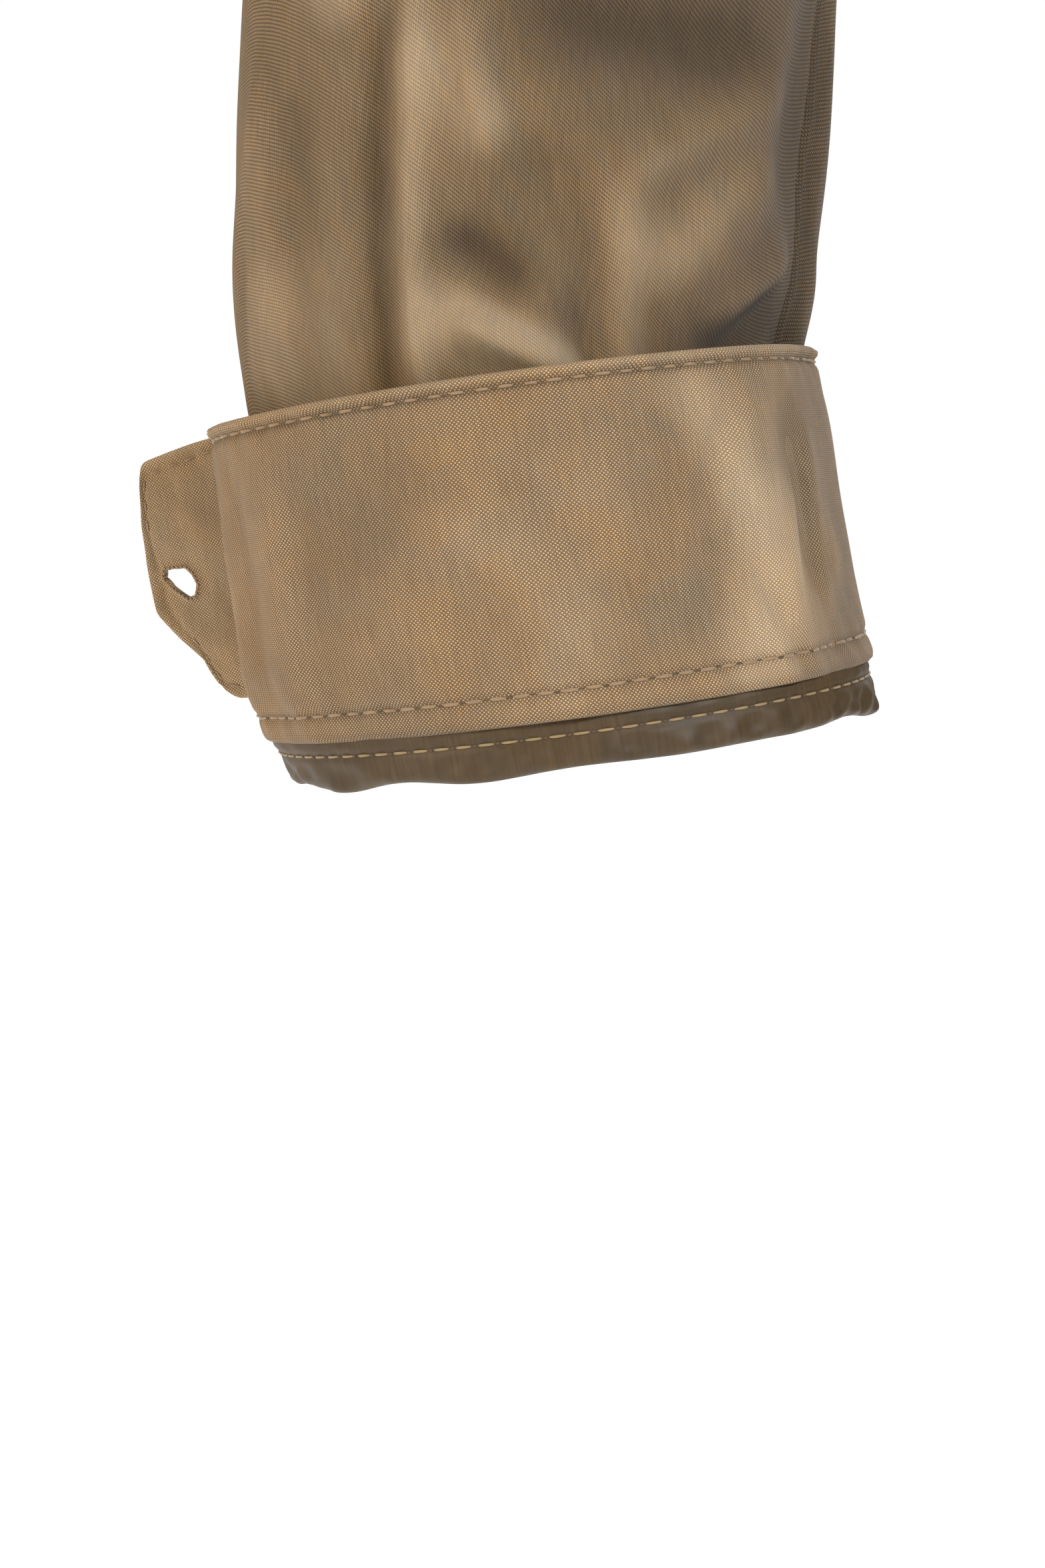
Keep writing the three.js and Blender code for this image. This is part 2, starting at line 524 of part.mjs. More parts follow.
function cuffButton(side) {
  const { angle, up, radius, thick, standOff } = CUFF_BUTTON;
  const at = cuffPoint(up, angle), n = cuffNormal(up, angle);
  const button = new THREE.CylinderGeometry(radius, radius, thick, 20).rotateZ(-PI / 2);
  button.translate(standOff + thick / 2, 0, 0).rotateZ(Math.atan2(n.y, n.x)).translate(at.x, at.y, at.z);
  return side > 0 ? button : mirroredShape(button);
}

bodyPanels();
collar();
hangingLoop();
frontZip();
pocket("left_hip", 1, HIP_POCKET);
pocket("right_hip", -1, HIP_POCKET);
pocket("left_chest", 1, CHEST_POCKET);
for (const [name, side] of [["left", 1], ["right", -1]]) {
  sleeve(name, side);
  cuff(name, side);
}

export default jacket;
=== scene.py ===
"""Builds the looks of a lined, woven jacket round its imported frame: cloth with folds, seams and stitches, turned-back
cuffs, a brass zip, pockets and the stage. Lengths in the shape functions are in millimetres, in the frame's axes."""

import math

import bmesh
import bpy
import numpy as np
from bpy.props import FloatProperty, FloatVectorProperty, PointerProperty
from mathutils import Euler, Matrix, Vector


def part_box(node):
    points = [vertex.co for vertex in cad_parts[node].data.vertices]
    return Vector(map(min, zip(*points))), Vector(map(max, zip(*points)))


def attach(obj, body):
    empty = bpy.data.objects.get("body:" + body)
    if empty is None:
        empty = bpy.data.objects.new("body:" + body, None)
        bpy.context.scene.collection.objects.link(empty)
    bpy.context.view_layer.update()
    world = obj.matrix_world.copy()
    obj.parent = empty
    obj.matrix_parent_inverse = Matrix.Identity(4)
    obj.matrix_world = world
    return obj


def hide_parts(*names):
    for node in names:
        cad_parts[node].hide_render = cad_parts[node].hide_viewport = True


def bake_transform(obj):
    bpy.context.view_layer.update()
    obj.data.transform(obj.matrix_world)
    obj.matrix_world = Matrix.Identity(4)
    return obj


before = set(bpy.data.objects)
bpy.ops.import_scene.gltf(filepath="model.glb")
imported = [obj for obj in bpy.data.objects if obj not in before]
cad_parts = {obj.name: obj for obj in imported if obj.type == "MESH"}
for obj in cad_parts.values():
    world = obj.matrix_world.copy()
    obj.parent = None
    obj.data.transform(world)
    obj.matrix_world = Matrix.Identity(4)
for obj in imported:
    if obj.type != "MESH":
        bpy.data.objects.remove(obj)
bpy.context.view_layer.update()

bl_info = {
    "name": "Woven Jacket Builder",
    "version": (1, 0, 0),
    "blender": (4, 5, 0),
    "location": "View3D > Sidebar > Jacket",
    "description": "Builds a lined woven jacket with turned-back cuffs round its packed frame",
    "category": "Add Mesh",
}

MM = 0.001
SIDES = {"left": 1, "right": -1}


# ---- Driving dimensions of the cloth shapes, in millimetres ----
def low(node):
    """Lowest corner of a CAD node, in millimetres."""
    return np.array(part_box(node)[0]) / MM


def high(node):
    """Highest corner of a CAD node, in millimetres."""
    return np.array(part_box(node)[1]) / MM


HEM = float(round(low("back_panel")[2]))
WAIST, CHEST = -430.0, -240.0
SQUARENESS, SHOULDER_ROUND = 2.6, 80.0
HALF_WIDTH = ((HEM, 214), (WAIST, 198), (CHEST, 203), (-40, 224))
BACK_DEPTH = ((HEM, 128), (WAIST, 102), (-150, 116), (0, 88))
FRONT_TOP, FRONT_TOP_DEPTH, FRONT_HEM_DEPTH, FRONT_GAP = -85.0, 92.0, 138.0, 5.7
NECK_HALF, NECK_FRONT_DROP, NECK_BACK_DROP = 80.0, 85.0, 22.0
SHOULDER_TIP, SHOULDER_SLOPE = 215.0, math.radians(19.5)
UNDERARM = -222.0
ARMHOLE_FRONT = ((170, -218), (172, -110))
ARMHOLE_BACK = ((185, -220), (190, -120))
ARM_PATH = np.array(((198, 0, -140), (330, 0, -270), (345, 6, -480), (346, -4, -648)), float)
ARM_LENGTH = 565.0
OUTER_REACH = ((0, 56), (0.2, 60), (0.5, 54), (0.78, 49.2), (0.88, 48.4), (1, 44.5))
INNER_REACH = ((0, 52), (0.2, 53), (0.5, 53), (0.78, 46.5), (0.85, 45.6), (0.885, 42.6), (1, 42))
SLEEVE_DEPTH = ((0, 60), (0.2, 64), (0.5, 56), (0.78, 43), (0.88, 38.5), (1, 37.5))
CAP_BLEND, CAP_RISE = 0.24, 9.0
SEAM_BACK, SEAM_FRONT = -54.0, 162.0
CUFF_HEIGHT, CUFF_HALF_WIDTH, CUFF_HALF_DEPTH, CUFF_TILT = 58.0, 50.2, 46.0, math.radians(7.7)
CUFF_TOP_X, CUFF_FOLD_X, CUFF_FOLD_Y, CUFF_FOLD_Z = 348.0, 336.5, -2.0, -648.7
LINING_SHOW = 7.5
VENT = -52.0
TAB_LOW, TAB_STAND_OFF, TAB_SPLAY = 13.0, 2.2, math.radians(6)
BUTTON_ANGLE, BUTTON_UP, BUTTON_RADIUS, BUTTON_THICK = -82.0, 0.62, 7.0, 2.6
COLLAR_STAND, COLLAR_LEAN, COLLAR_BACK_FALL, COLLAR_FRONT_FALL, COLLAR_ARCH = 30.0, 5.0, 20.0, 46.0, 5.0
COLLAR_START, COLLAR_SPREAD = 5.0, 8.0
# Each pocket: its side, then from and to across, top, bottom, and the flap's top and bottom.
POCKETS = {"left_hip": (1, 48, 152, -486, -640, -474, -528), "right_hip": (-1, 48, 152, -486, -640, -474, -528),
           "left_chest": (1, 52, 140, -222, -318, -212, -254)}
POCKET_OUT, FLAP_OUT, CLOTH_LAYER = 2.4, 5.4, 1.2
SATIN_BEHIND, SATIN_THICK = 1.9, 0.4
ZIP_DEPTH, ZIP_TILT = 4.2, math.atan2(46, 595)
ZIP_LONG = math.hypot(46, 595) - 6


# ---- Shape functions ----
def eased(knots, at):
    """Value at a place on a profile of (place, value) pairs, with half a cosine wave between neighbours."""
    at = np.asarray(at, float)
    places, values = (np.array(k, float) for k in zip(*knots))
    k = np.clip(np.searchsorted(places, at) - 1, 0, len(places) - 2)
    share = np.clip((at - places[k]) / (places[k + 1] - places[k]), 0, 1)
    return values[k] + (values[k + 1] - values[k]) * (1 - np.cos(math.pi * share)) / 2


def smooth(low_end, high_end, at):
    """0 below low_end, 1 above high_end, and 3t^2 - 2t^3 between them."""
    t = np.clip((np.asarray(at, float) - low_end) / (high_end - low_end), 0, 1)
    return t * t * (3 - 2 * t)


def unit(vectors):
    """Vectors brought to a length of 1."""
    return vectors / np.maximum(np.linalg.norm(vectors, axis=-1, keepdims=True), 1e-9)


def bell(away, width):
    """exp(-(away/width)^2): 1 at 0, and 1/e at the width."""
    return np.exp(-((away / width) ** 2))


def shoulder_line(x):
    """Height of the shoulder seam: level over the neck, then a straight slope."""
    return -np.maximum(0, np.abs(x) - NECK_HALF) * math.tan(SHOULDER_SLOPE)


def front_depth(z):
    """Depth of the front edge, a straight line from the neck to the hem."""
    return FRONT_TOP_DEPTH + (FRONT_HEM_DEPTH - FRONT_TOP_DEPTH) * (FRONT_TOP - z) / (FRONT_TOP - HEM)


def body_point(face, x, z):
    """Body surface over (x, z): |x/w|^n + |y/d|^n = 1 at each height, times a quarter circle over the shoulders.
    face is -1 on the front and 1 on the back."""
    x, z = np.broadcast_arrays(np.asarray(x, float), np.asarray(z, float))
    share = np.minimum(1, np.abs(x) / eased(HALF_WIDTH, z))
    section = (1 - share**SQUARENESS) ** (1 / SQUARENESS)
    below = np.clip((shoulder_line(x) - z) / SHOULDER_ROUND, 0, 1)
    depth = front_depth(z) if face < 0 else eased(BACK_DEPTH, z)
    return np.stack([x, face * depth * section * np.sqrt(1 - (1 - below) ** 2), z], -1)


def armhole_edge(face, t):
    """(x, z) of an armhole's edge, a cubic Bezier curve from the underarm at 0 to the shoulder tip at 1."""
    near, far = ARMHOLE_FRONT if face < 0 else ARMHOLE_BACK
    start = (float(eased(HALF_WIDTH, UNDERARM)), UNDERARM)
    tip = (SHOULDER_TIP, float(shoulder_line(SHOULDER_TIP)))
    t, u = np.asarray(t, float), 1 - np.asarray(t, float)
    return [u**3 * start[k] + 3 * u * u * t * near[k] + 3 * u * t * t * far[k] + t**3 * tip[k] for k in (0, 1)]


def body_grid(face, side, centre, columns, rows):
    """Half of the front or back over its pattern: u from the centre line to the side, v from the hem to the neck and
    shoulder. Each edge follows its seam, and a point inside is the sum of its blends across and up, less the blend
    of the four corners."""
    u, v = np.linspace(0, 1, columns + 1)[None, :], np.linspace(0, 1, rows + 1)[:, None]
    underarm_share, neck_share = 0.58, 0.42
    drop = NECK_FRONT_DROP if face < 0 else NECK_BACK_DROP
    hole_x, hole_z = armhole_edge(face, np.clip((v - underarm_share) / (1 - underarm_share), 0, 1))
    low_z = HEM + (UNDERARM - HEM) * v / underarm_share
    in_hole = v > underarm_share
    right = np.where(in_hole, hole_x, eased(HALF_WIDTH, low_z)), np.where(in_hole, hole_z, low_z)
    start = math.asin(centre / NECK_HALF)
    turn = start + (math.pi / 2 - start) * np.minimum(1, u / neck_share)
    beyond = NECK_HALF + (SHOULDER_TIP - NECK_HALF) * (u - neck_share) / (1 - neck_share)
    in_neck = u <= neck_share
    top = (np.where(in_neck, NECK_HALF * np.sin(turn), beyond),
           np.where(in_neck, -drop * np.cos(turn), shoulder_line(beyond)))
    half = HALF_WIDTH[0][1]
    hem = centre + (half - centre) * np.sin(u * math.pi / 2), np.full_like(u, HEM)
    left = np.full_like(v, centre), HEM + (top[1][0, 0] - HEM) * v
    w = np.sin(u * math.pi / 2) * (1 - v) + u * v
    made = []
    for k in (0, 1):
        corners = ((1 - v) * ((1 - w) * hem[k][0, 0] + w * hem[k][0, -1])
                   + v * ((1 - w) * top[k][0, 0] + w * top[k][0, -1]))
        made.append((1 - w) * left[k] + w * right[k] + (1 - v) * hem[k] + v * top[k] - corners)
    x, z = made
    points = body_point(face, x, np.minimum(z, shoulder_line(x)))
    points[..., 0] *= side
    return points


def arm_centre(s):
    """Point and direction of the arm's middle line, a cubic Bezier curve over s from 0 to 1."""
    s = np.asarray(s, float)[..., None]
    a, b, c, d = ARM_PATH
    place = (1 - s) ** 3 * a + 3 * s * (1 - s) ** 2 * b + 3 * s * s * (1 - s) * c + s**3 * d
    way = 3 * (1 - s) ** 2 * (b - a) + 6 * s * (1 - s) * (c - b) + 3 * s * s * (d - c)
    return place, unit(way)


def armhole_loop(degrees):
    """Closed armhole: 0 at the shoulder tip, 90 at its front, 180 at the underarm and 270 at its back."""
    turn = np.mod(degrees, 360.0)
    t = np.abs(turn - 180) / 180
    front = body_point(-1, *armhole_edge(-1, t))
    back = body_point(1, *armhole_edge(1, t))
    return np.where((turn < 180)[..., None], front, back)


def sleeve_points(s, degrees):
    """Sleeve surface on the +X side: two half ellipses round the arm's middle line, which start from the armhole's
    loop and lean with the cuff at their end."""
    s, degrees = np.broadcast_arrays(np.asarray(s, float), np.asarray(degrees, float))
    centre, way = arm_centre(s)
    out = unit(np.stack([-way[..., 2], np.zeros_like(s), way[..., 0]], -1))
    front = np.cross(way, out)
    front *= np.where(front[..., 1:2] > 0, -1, 1)
    a = np.radians(degrees)
    reach = np.where(np.cos(a) > 0, eased(OUTER_REACH, s), eased(INNER_REACH, s))
    tube = centre + out * (reach * np.cos(a))[..., None] + front * (eased(SLEEVE_DEPTH, s) * np.sin(a))[..., None]
    to_fold = smooth(0.85, 1, s)
    tube[..., 0] += (CUFF_FOLD_X - ARM_PATH[3][0]) * to_fold
    tube[..., 2] -= (tube[..., 0] - CUFF_FOLD_X) * math.tan(CUFF_TILT) * to_fold
    cap = armhole_loop(degrees) + way * (300 * s * (1 - s))[..., None]
    share = smooth(0, CAP_BLEND, s)[..., None]
    rise = CAP_RISE * np.sin(math.pi * np.minimum(1, s / CAP_BLEND)) * ((1 + np.cos(a)) / 2) ** 2
    return cap * (1 - share) + tube * share + out * rise[..., None]


def cuff_points(t, degrees, out=0.0):
    """Turned-back cuff on the +X side, at height share t and angle, moved out by some millimetres: an elliptical
    band on a leaning axis, cut on a slant."""
    t, degrees, out = np.broadcast_arrays(*(np.asarray(k, float) for k in (t, degrees, out)))
    a = np.radians(degrees)
    x, y = (CUFF_HALF_WIDTH + out) * np.cos(a), -(CUFF_HALF_DEPTH + out) * np.sin(a)
    return np.stack([CUFF_FOLD_X + (CUFF_TOP_X - CUFF_FOLD_X) * t + x, CUFF_FOLD_Y + y,
                     CUFF_FOLD_Z + CUFF_HEIGHT * t - x * math.tan(CUFF_TILT)], -1)


def mirrored(points, side):
    """Points of the +X side, or their mirror image on the -X side."""
    return points * np.array((side, 1.0, 1.0))


# ---- Folds ----
def creases(a, b, lines):
    """Height of a set of soft folds over flat coordinates (a, b). A fold runs along a line from (a0, b0) to (a1, b1):
    height times exp(-(distance/width)^2), fading out towards its ends."""
    total = np.zeros(np.broadcast(a, b).shape)
    for a0, b0, a1, b1, width, height in lines:
        da, db = a1 - a0, b1 - b0
        t = ((a - a0) * da + (b - b0) * db) / (da * da + db * db)
        near = np.clip(t, 0, 1)
        gap = np.hypot(a - a0 - near * da, b - b0 - near * db)
        fade = smooth(-0.05, 0.3, t) * (1 - smooth(0.7, 1.05, t))
        total += height * bell(gap, width) * fade
    return total


def ripples(a, b, seed, wave, count=5, stretch=1.0):
    """Sum of a few sine waves in seeded directions, with wavelengths round wave, from about -1 to 1. A stretch above
    1 makes the ripples longer along b."""
    random = np.random.default_rng(seed)
    total = np.zeros(np.broadcast(a, b).shape)
    for _ in range(count):
        turn, phase = random.uniform(0, math.pi), random.uniform(0, 2 * math.pi)
        length = wave * random.uniform(0.7, 1.5)
        bend = 0.35 * np.sin(2 * math.pi * (a * math.sin(turn) - b * math.cos(turn)) / (2.3 * length) + phase * 2)
        total += np.sin(2 * math.pi * (a * math.cos(turn) + b * math.sin(turn) / stretch) / length + phase + bend)
    return total / math.sqrt(count * 2)


# ---- Meshes ----
def normals_of(points, outward, round_columns=False):
    """Unit normals of a grid from its differences both ways, each turned to the side that outward names."""
    if round_columns:
        across = np.roll(points, -1, 1) - np.roll(points, 1, 1)
    else:
        across = np.gradient(points, axis=1)
    n = unit(np.cross(across, np.gradient(points, axis=0)))
    return n * np.where(np.sum(n * outward, -1, keepdims=True) < 0, -1, 1)


def add_mesh(name, vertices, faces, uv=None, material=None):
    """A mesh object from arrays: vertices in millimetres, faces with the same number of corners each, and one UV pair
    for each corner, in metres."""
    mesh = bpy.data.meshes.new(name)
    corners = faces.shape[1]
    mesh.vertices.add(len(vertices))
    mesh.vertices.foreach_set("co", (np.asarray(vertices) * MM).astype(np.float32).ravel())
    mesh.loops.add(faces.size)
    mesh.loops.foreach_set("vertex_index", faces.astype(np.int32).ravel())
    mesh.polygons.add(len(faces))
    mesh.polygons.foreach_set("loop_start", np.arange(0, faces.size, corners, dtype=np.int32))
    if uv is not None:
        mesh.uv_layers.new(name="cloth").data.foreach_set("uv", (np.asarray(uv) * MM).astype(np.float32).ravel())
    mesh.update(calc_edges=True)
    mesh.validate()
    mesh.polygons.foreach_set("use_smooth", np.ones(len(mesh.polygons), bool))
    made = bpy.data.objects.new(name, mesh)
    bpy.context.scene.collection.objects.link(made)
    if material:
        mesh.materials.append(material)
    return made


def grid_faces(rows, columns, round_rows=False, round_columns=False):
    """Quads of a grid of points, and each corner's place in a UV grid that has one more row or column where the
    surface closes on itself."""
    j, i = np.meshgrid(np.arange(rows if round_rows else rows - 1),
                       np.arange(columns if round_columns else columns - 1), indexing="ij")
    ring = ((0, 0), (0, 1), (1, 1), (1, 0))
    faces = np.stack([((j + dj) % rows) * columns + (i + di) % columns for dj, di in ring], -1)
    wide = columns + round_columns
    places = np.stack([(j + dj) * wide + i + di for dj, di in ring], -1)
    return faces.reshape(-1, 4), places.reshape(-1, 4)


def surface(name, points, uv, outward, material, round_rows=False, round_columns=False, wear_and_shading=None):
    """A smooth surface from a grid of points, its faces turned to the side that outward names. The last argument says
    how much lighter, or darker if below 0, the cloth is drawn at each point: wear that rubbing and washing have left,
    together with painted highlights on folds and edges and painted shade in hollows and stitch grooves."""
    rows, columns = points.shape[:2]
    faces, places = grid_faces(rows, columns, round_rows, round_columns)
    flat = points.reshape(-1, 3)
    facing = np.cross(flat[faces[:, 1]] - flat[faces[:, 0]], flat[faces[:, 3]] - flat[faces[:, 0]])
    towards = np.broadcast_to(outward, points.shape).reshape(-1, 3)[faces[:, 0]]
    if np.sum(facing * towards) < 0:
        faces, places = faces[:, ::-1], places[:, ::-1]
    made = add_mesh(name, flat, faces, uv.reshape(-1, 2)[places], material)
    if wear_and_shading is not None:
        worn_and_shaded = made.data.attributes.new("wear_and_shading", "FLOAT", "POINT")
        values = np.clip(np.broadcast_to(wear_and_shading, (rows, columns)), -1, 1)
        worn_and_shaded.data.foreach_set("value", values.astype(np.float32).ravel())
    return made


def thicken(piece, thickness):
    """Gives a cloth surface its thickness, inwards from the face that shows."""
    solid = piece.modifiers.new("thickness", "SOLIDIFY")
    solid.thickness, solid.offset = thickness * MM, -1.0
    solid.use_even_offset = False
    return piece


def fitted(piece, body, replaced):
    """Makes a finished piece ride on its body in place of a CAD node."""
    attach(piece, body)
    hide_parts(replaced)
    return piece


def walked(points, axis=0):
    """Distance along a grid's lines from their start, in millimetres."""
    steps = np.linalg.norm(np.diff(points, axis=axis), axis=-1)
    pad = [(0, 0), (0, 0)]
    pad[axis] = (1, 0)
    return np.pad(np.cumsum(steps, axis=axis), pad)


def copies(name, shape, faces, middle, axes, material):
    """Copies of one small closed shape in one mesh, each with its own middle and three axes."""
    vertices = middle[:, None] + sum(shape[None, :, k : k + 1] * axes[k][:, None] for k in range(3))
    first = vertices[0]
    corner = first[faces]
    facing = np.cross(corner[:, 1] - corner[:, 0], corner[:, 3] - corner[:, 0])
    if np.sum(facing * (corner.mean(1) - first.mean(0))) < 0:
        faces = faces[:, ::-1]
    every = (faces[None] + len(shape) * np.arange(len(middle))[:, None, None]).reshape(-1, 4)
    return add_mesh(name, vertices.reshape(-1, 3), every, np.zeros((every.size, 2)), material)


def lengths_along(line):
    """Distance of each point of a line from its start."""
    return np.concatenate([[0], np.cumsum(np.linalg.norm(np.diff(line, axis=0), axis=1))])


def spaced(line, normals, pitch, start, closed):
    """Places along a line at even steps of about the pitch, with their directions along, across and out."""
    line, normals = np.asarray(line, float), np.asarray(normals, float)
    if closed:
        line, normals = np.vstack([line, line[:1]]), np.vstack([normals, normals[:1]])
    place = lengths_along(line)
    count = max(1, int(place[-1] / pitch))
    at = (np.arange(count) + start) * place[-1] / count
    middle, out = (np.stack([np.interp(at, place, k[:, c]) for c in range(3)], -1) for k in (line, normals))
    ahead, behind = (np.stack([np.interp(at + d, place, line[:, c]) for c in range(3)], -1) for d in (0.5, -0.5))
    along, out = unit(ahead - behind), unit(out)
    return middle, (along, unit(np.cross(along, out)), out)


def stitches(name, line, normals, material, pitch, length, radius, closed):
    """Thread stitches along a line of points: spindles of six sides and five rings, each lying along the line and
    dipping into the cloth at its ends."""
    middle, axes = spaced(line, normals, pitch, 0.5, closed)
    ends = np.linspace(-1, 1, 5)
    thick, turn = radius * np.array((0.4, 0.9, 1.0, 0.9, 0.4)), np.arange(6) * math.pi / 3
    lift = radius * 0.55 - 0.05 - 0.36 * ends**4
    shape = np.stack([np.repeat(ends * length / 2, 6), (thick[:, None] * np.cos(turn)).ravel(),
                      (lift[:, None] + thick[:, None] * np.sin(turn)).ravel()], -1)
    faces, _ = grid_faces(5, 6, round_columns=True)
    caps = np.array([[0, 1, 2, 3], [0, 3, 4, 5], [27, 26, 25, 24], [29, 28, 27, 24]])
    return copies(name, shape, np.vstack([faces, caps]), middle, axes, material)


def needle_hole_shadows(name, line, normals, pitch, radius, closed):
    """Painted shade of the dimples between stitches, where the needle went in: low dark domes of eight sides."""
    middle, axes = spaced(line, normals, pitch, 0.0, closed)
    turn = np.arange(8) * math.pi / 4
    ring = np.stack([1.5 * np.cos(turn), np.sin(turn), np.zeros(8)], -1)
    shape = np.vstack([ring * radius * 1.2 - (0, 0, 0.15), ring * radius + (0, 0, 0.05)])
    faces, _ = grid_faces(2, 8, round_columns=True)
    caps = np.array([[8, 9, 10, 11], [8, 11, 12, 15], [12, 13, 14, 15], [0, 3, 2, 1], [0, 7, 4, 3], [4, 7, 6, 5]])
    return copies(name, shape, np.vstack([faces, caps]), middle, axes, made_of("needle_hole"))


def sewn(name, rows, body, material="thread", pitch=None, radius=0.26, closed=False, holes=True):
    """Rows of stitches, given as lines with their normals, and dark domes of painted shade for the needle holes between
    them.
    """
    pitch = pitch or bpy.context.scene.jacket_sizes.stitch
    lines = [stitches(f"{name}_{k}", line, n, made_of(material), pitch, pitch * 0.78, radius, closed)
             for k, (line, n) in enumerate(rows)]
    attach(joined(lines, name), body)
    if holes:
        dots = [needle_hole_shadows(f"{name}_hole_{k}", line, n, pitch, radius * 1.1, closed)
                for k, (line, n) in enumerate(rows)]
        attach(joined(dots, f"{name}_holes"), body)


def row_on(points, normals, share, axis=0):
    """The line on a grid at a share of its rows (axis 0) or columns (axis 1), with its normals."""
    last = points.shape[axis] - 1
    k = share * last
    a, b = int(math.floor(k)), min(int(math.floor(k)) + 1, last)
    mix = k - a
    return (np.take(points, a, axis) * (1 - mix) + np.take(points, b, axis) * mix,
            np.take(normals, a, axis) * (1 - mix) + np.take(normals, b, axis) * mix)


# ---- Materials ----
# Pale grey that the most rubbed places and the painted highlights are mixed towards.
PALE_WEAR_AND_HIGHLIGHT = 0xAFA28C


def linear(colour):
    """Linear RGBA from an sRGB hex value such as 0xAA8F72."""
    parts = [((colour >> shift) & 255) / 255 for shift in (16, 8, 0)]
    return (*[c / 12.92 if c <= 0.04045 else ((c + 0.055) / 1.055) ** 2.4 for c in parts], 1.0)


def add_node(tree, kind, settings=None):
    """Adds a node and sets its properties, or its inputs by name or number. An input that is given another node's
    output is linked to it."""
    node = tree.nodes.new(kind)
    for key, value in (settings or {}).items():
        if isinstance(value, bpy.types.NodeSocket):
            tree.links.new(value, node.inputs[key])
        elif isinstance(key, int) or key in node.inputs:
            node.inputs[key].default_value = value
        else:
            setattr(node, key, value)
    return node


def noise(tree, where, scale, detail, **more):
    """A noise texture over the given coordinates."""
    return add_node(tree, "ShaderNodeTexNoise", {"Scale": scale, "Detail": detail, "Vector": where, **more})


def stretched(tree, where, scale):
    """Coordinates scaled along each axis."""
    return add_node(tree, "ShaderNodeMapping", {"Scale": scale, "Vector": where}).outputs[0]


def ranged(tree, value, low_end, high_end, to_low=0.0, to_high=1.0):
    """A value between two ends, mapped in proportion to between two others and held there beyond them."""
    return add_node(tree, "ShaderNodeMapRange", {"From Min": low_end, "From Max": high_end, "To Min": to_low,
                                                 "To Max": to_high, "Value": value}).outputs[0]


def reckoned(tree, operation, *values):
    """The result of a Math node's operation on numbers or outputs."""
    return add_node(tree, "ShaderNodeMath", {"operation": operation, **dict(enumerate(values))}).outputs[0]


def coloured(tree, operation, colour_in, by):
    """A colour scaled by a number, or added to or multiplied by another."""
    settings = {"operation": operation, 0: colour_in, "Scale" if operation == "SCALE" else 1: by}
    return add_node(tree, "ShaderNodeVectorMath", settings).outputs[0]


def between(tree, share, first, second):
    """A mix of two colours: the first at a share of 0 and the second at 1."""
    return add_node(tree, "ShaderNodeMix", {"data_type": "RGBA", 0: share, 6: first, 7: second}).outputs[2]


def finished(tree, shader, base, height=None, strength=0.0, distance=0.0001):
    """Links a base colour to the shader, and a bump where a height is given."""
    tree.links.new(base, shader.inputs["Base Color"])
    if height is not None:
        bump = add_node(tree, "ShaderNodeBump", {"Strength": strength, "Distance": distance, "Height": height})
        tree.links.new(bump.outputs[0], shader.inputs["Normal"])


def new_material(name, settings):
    """A material with only its Principled shader, and that shader's own values."""
    material = bpy.data.materials.new(name)
    material.use_nodes = True
    shader = material.node_tree.nodes["Principled BSDF"]
    for key, value in settings.items():
        shader.inputs[key].default_value = value
    return material, material.node_tree, shader


def cloth_place(tree):
    """The cloth's own coordinates, in metres along its weave."""
    return add_node(tree, "ShaderNodeUVMap", {"uv_map": "cloth"}).outputs["UV"]


def object_place(tree):
    """The object's own coordinates, in metres."""
    return add_node(tree, "ShaderNodeTexCoord").outputs["Object"]


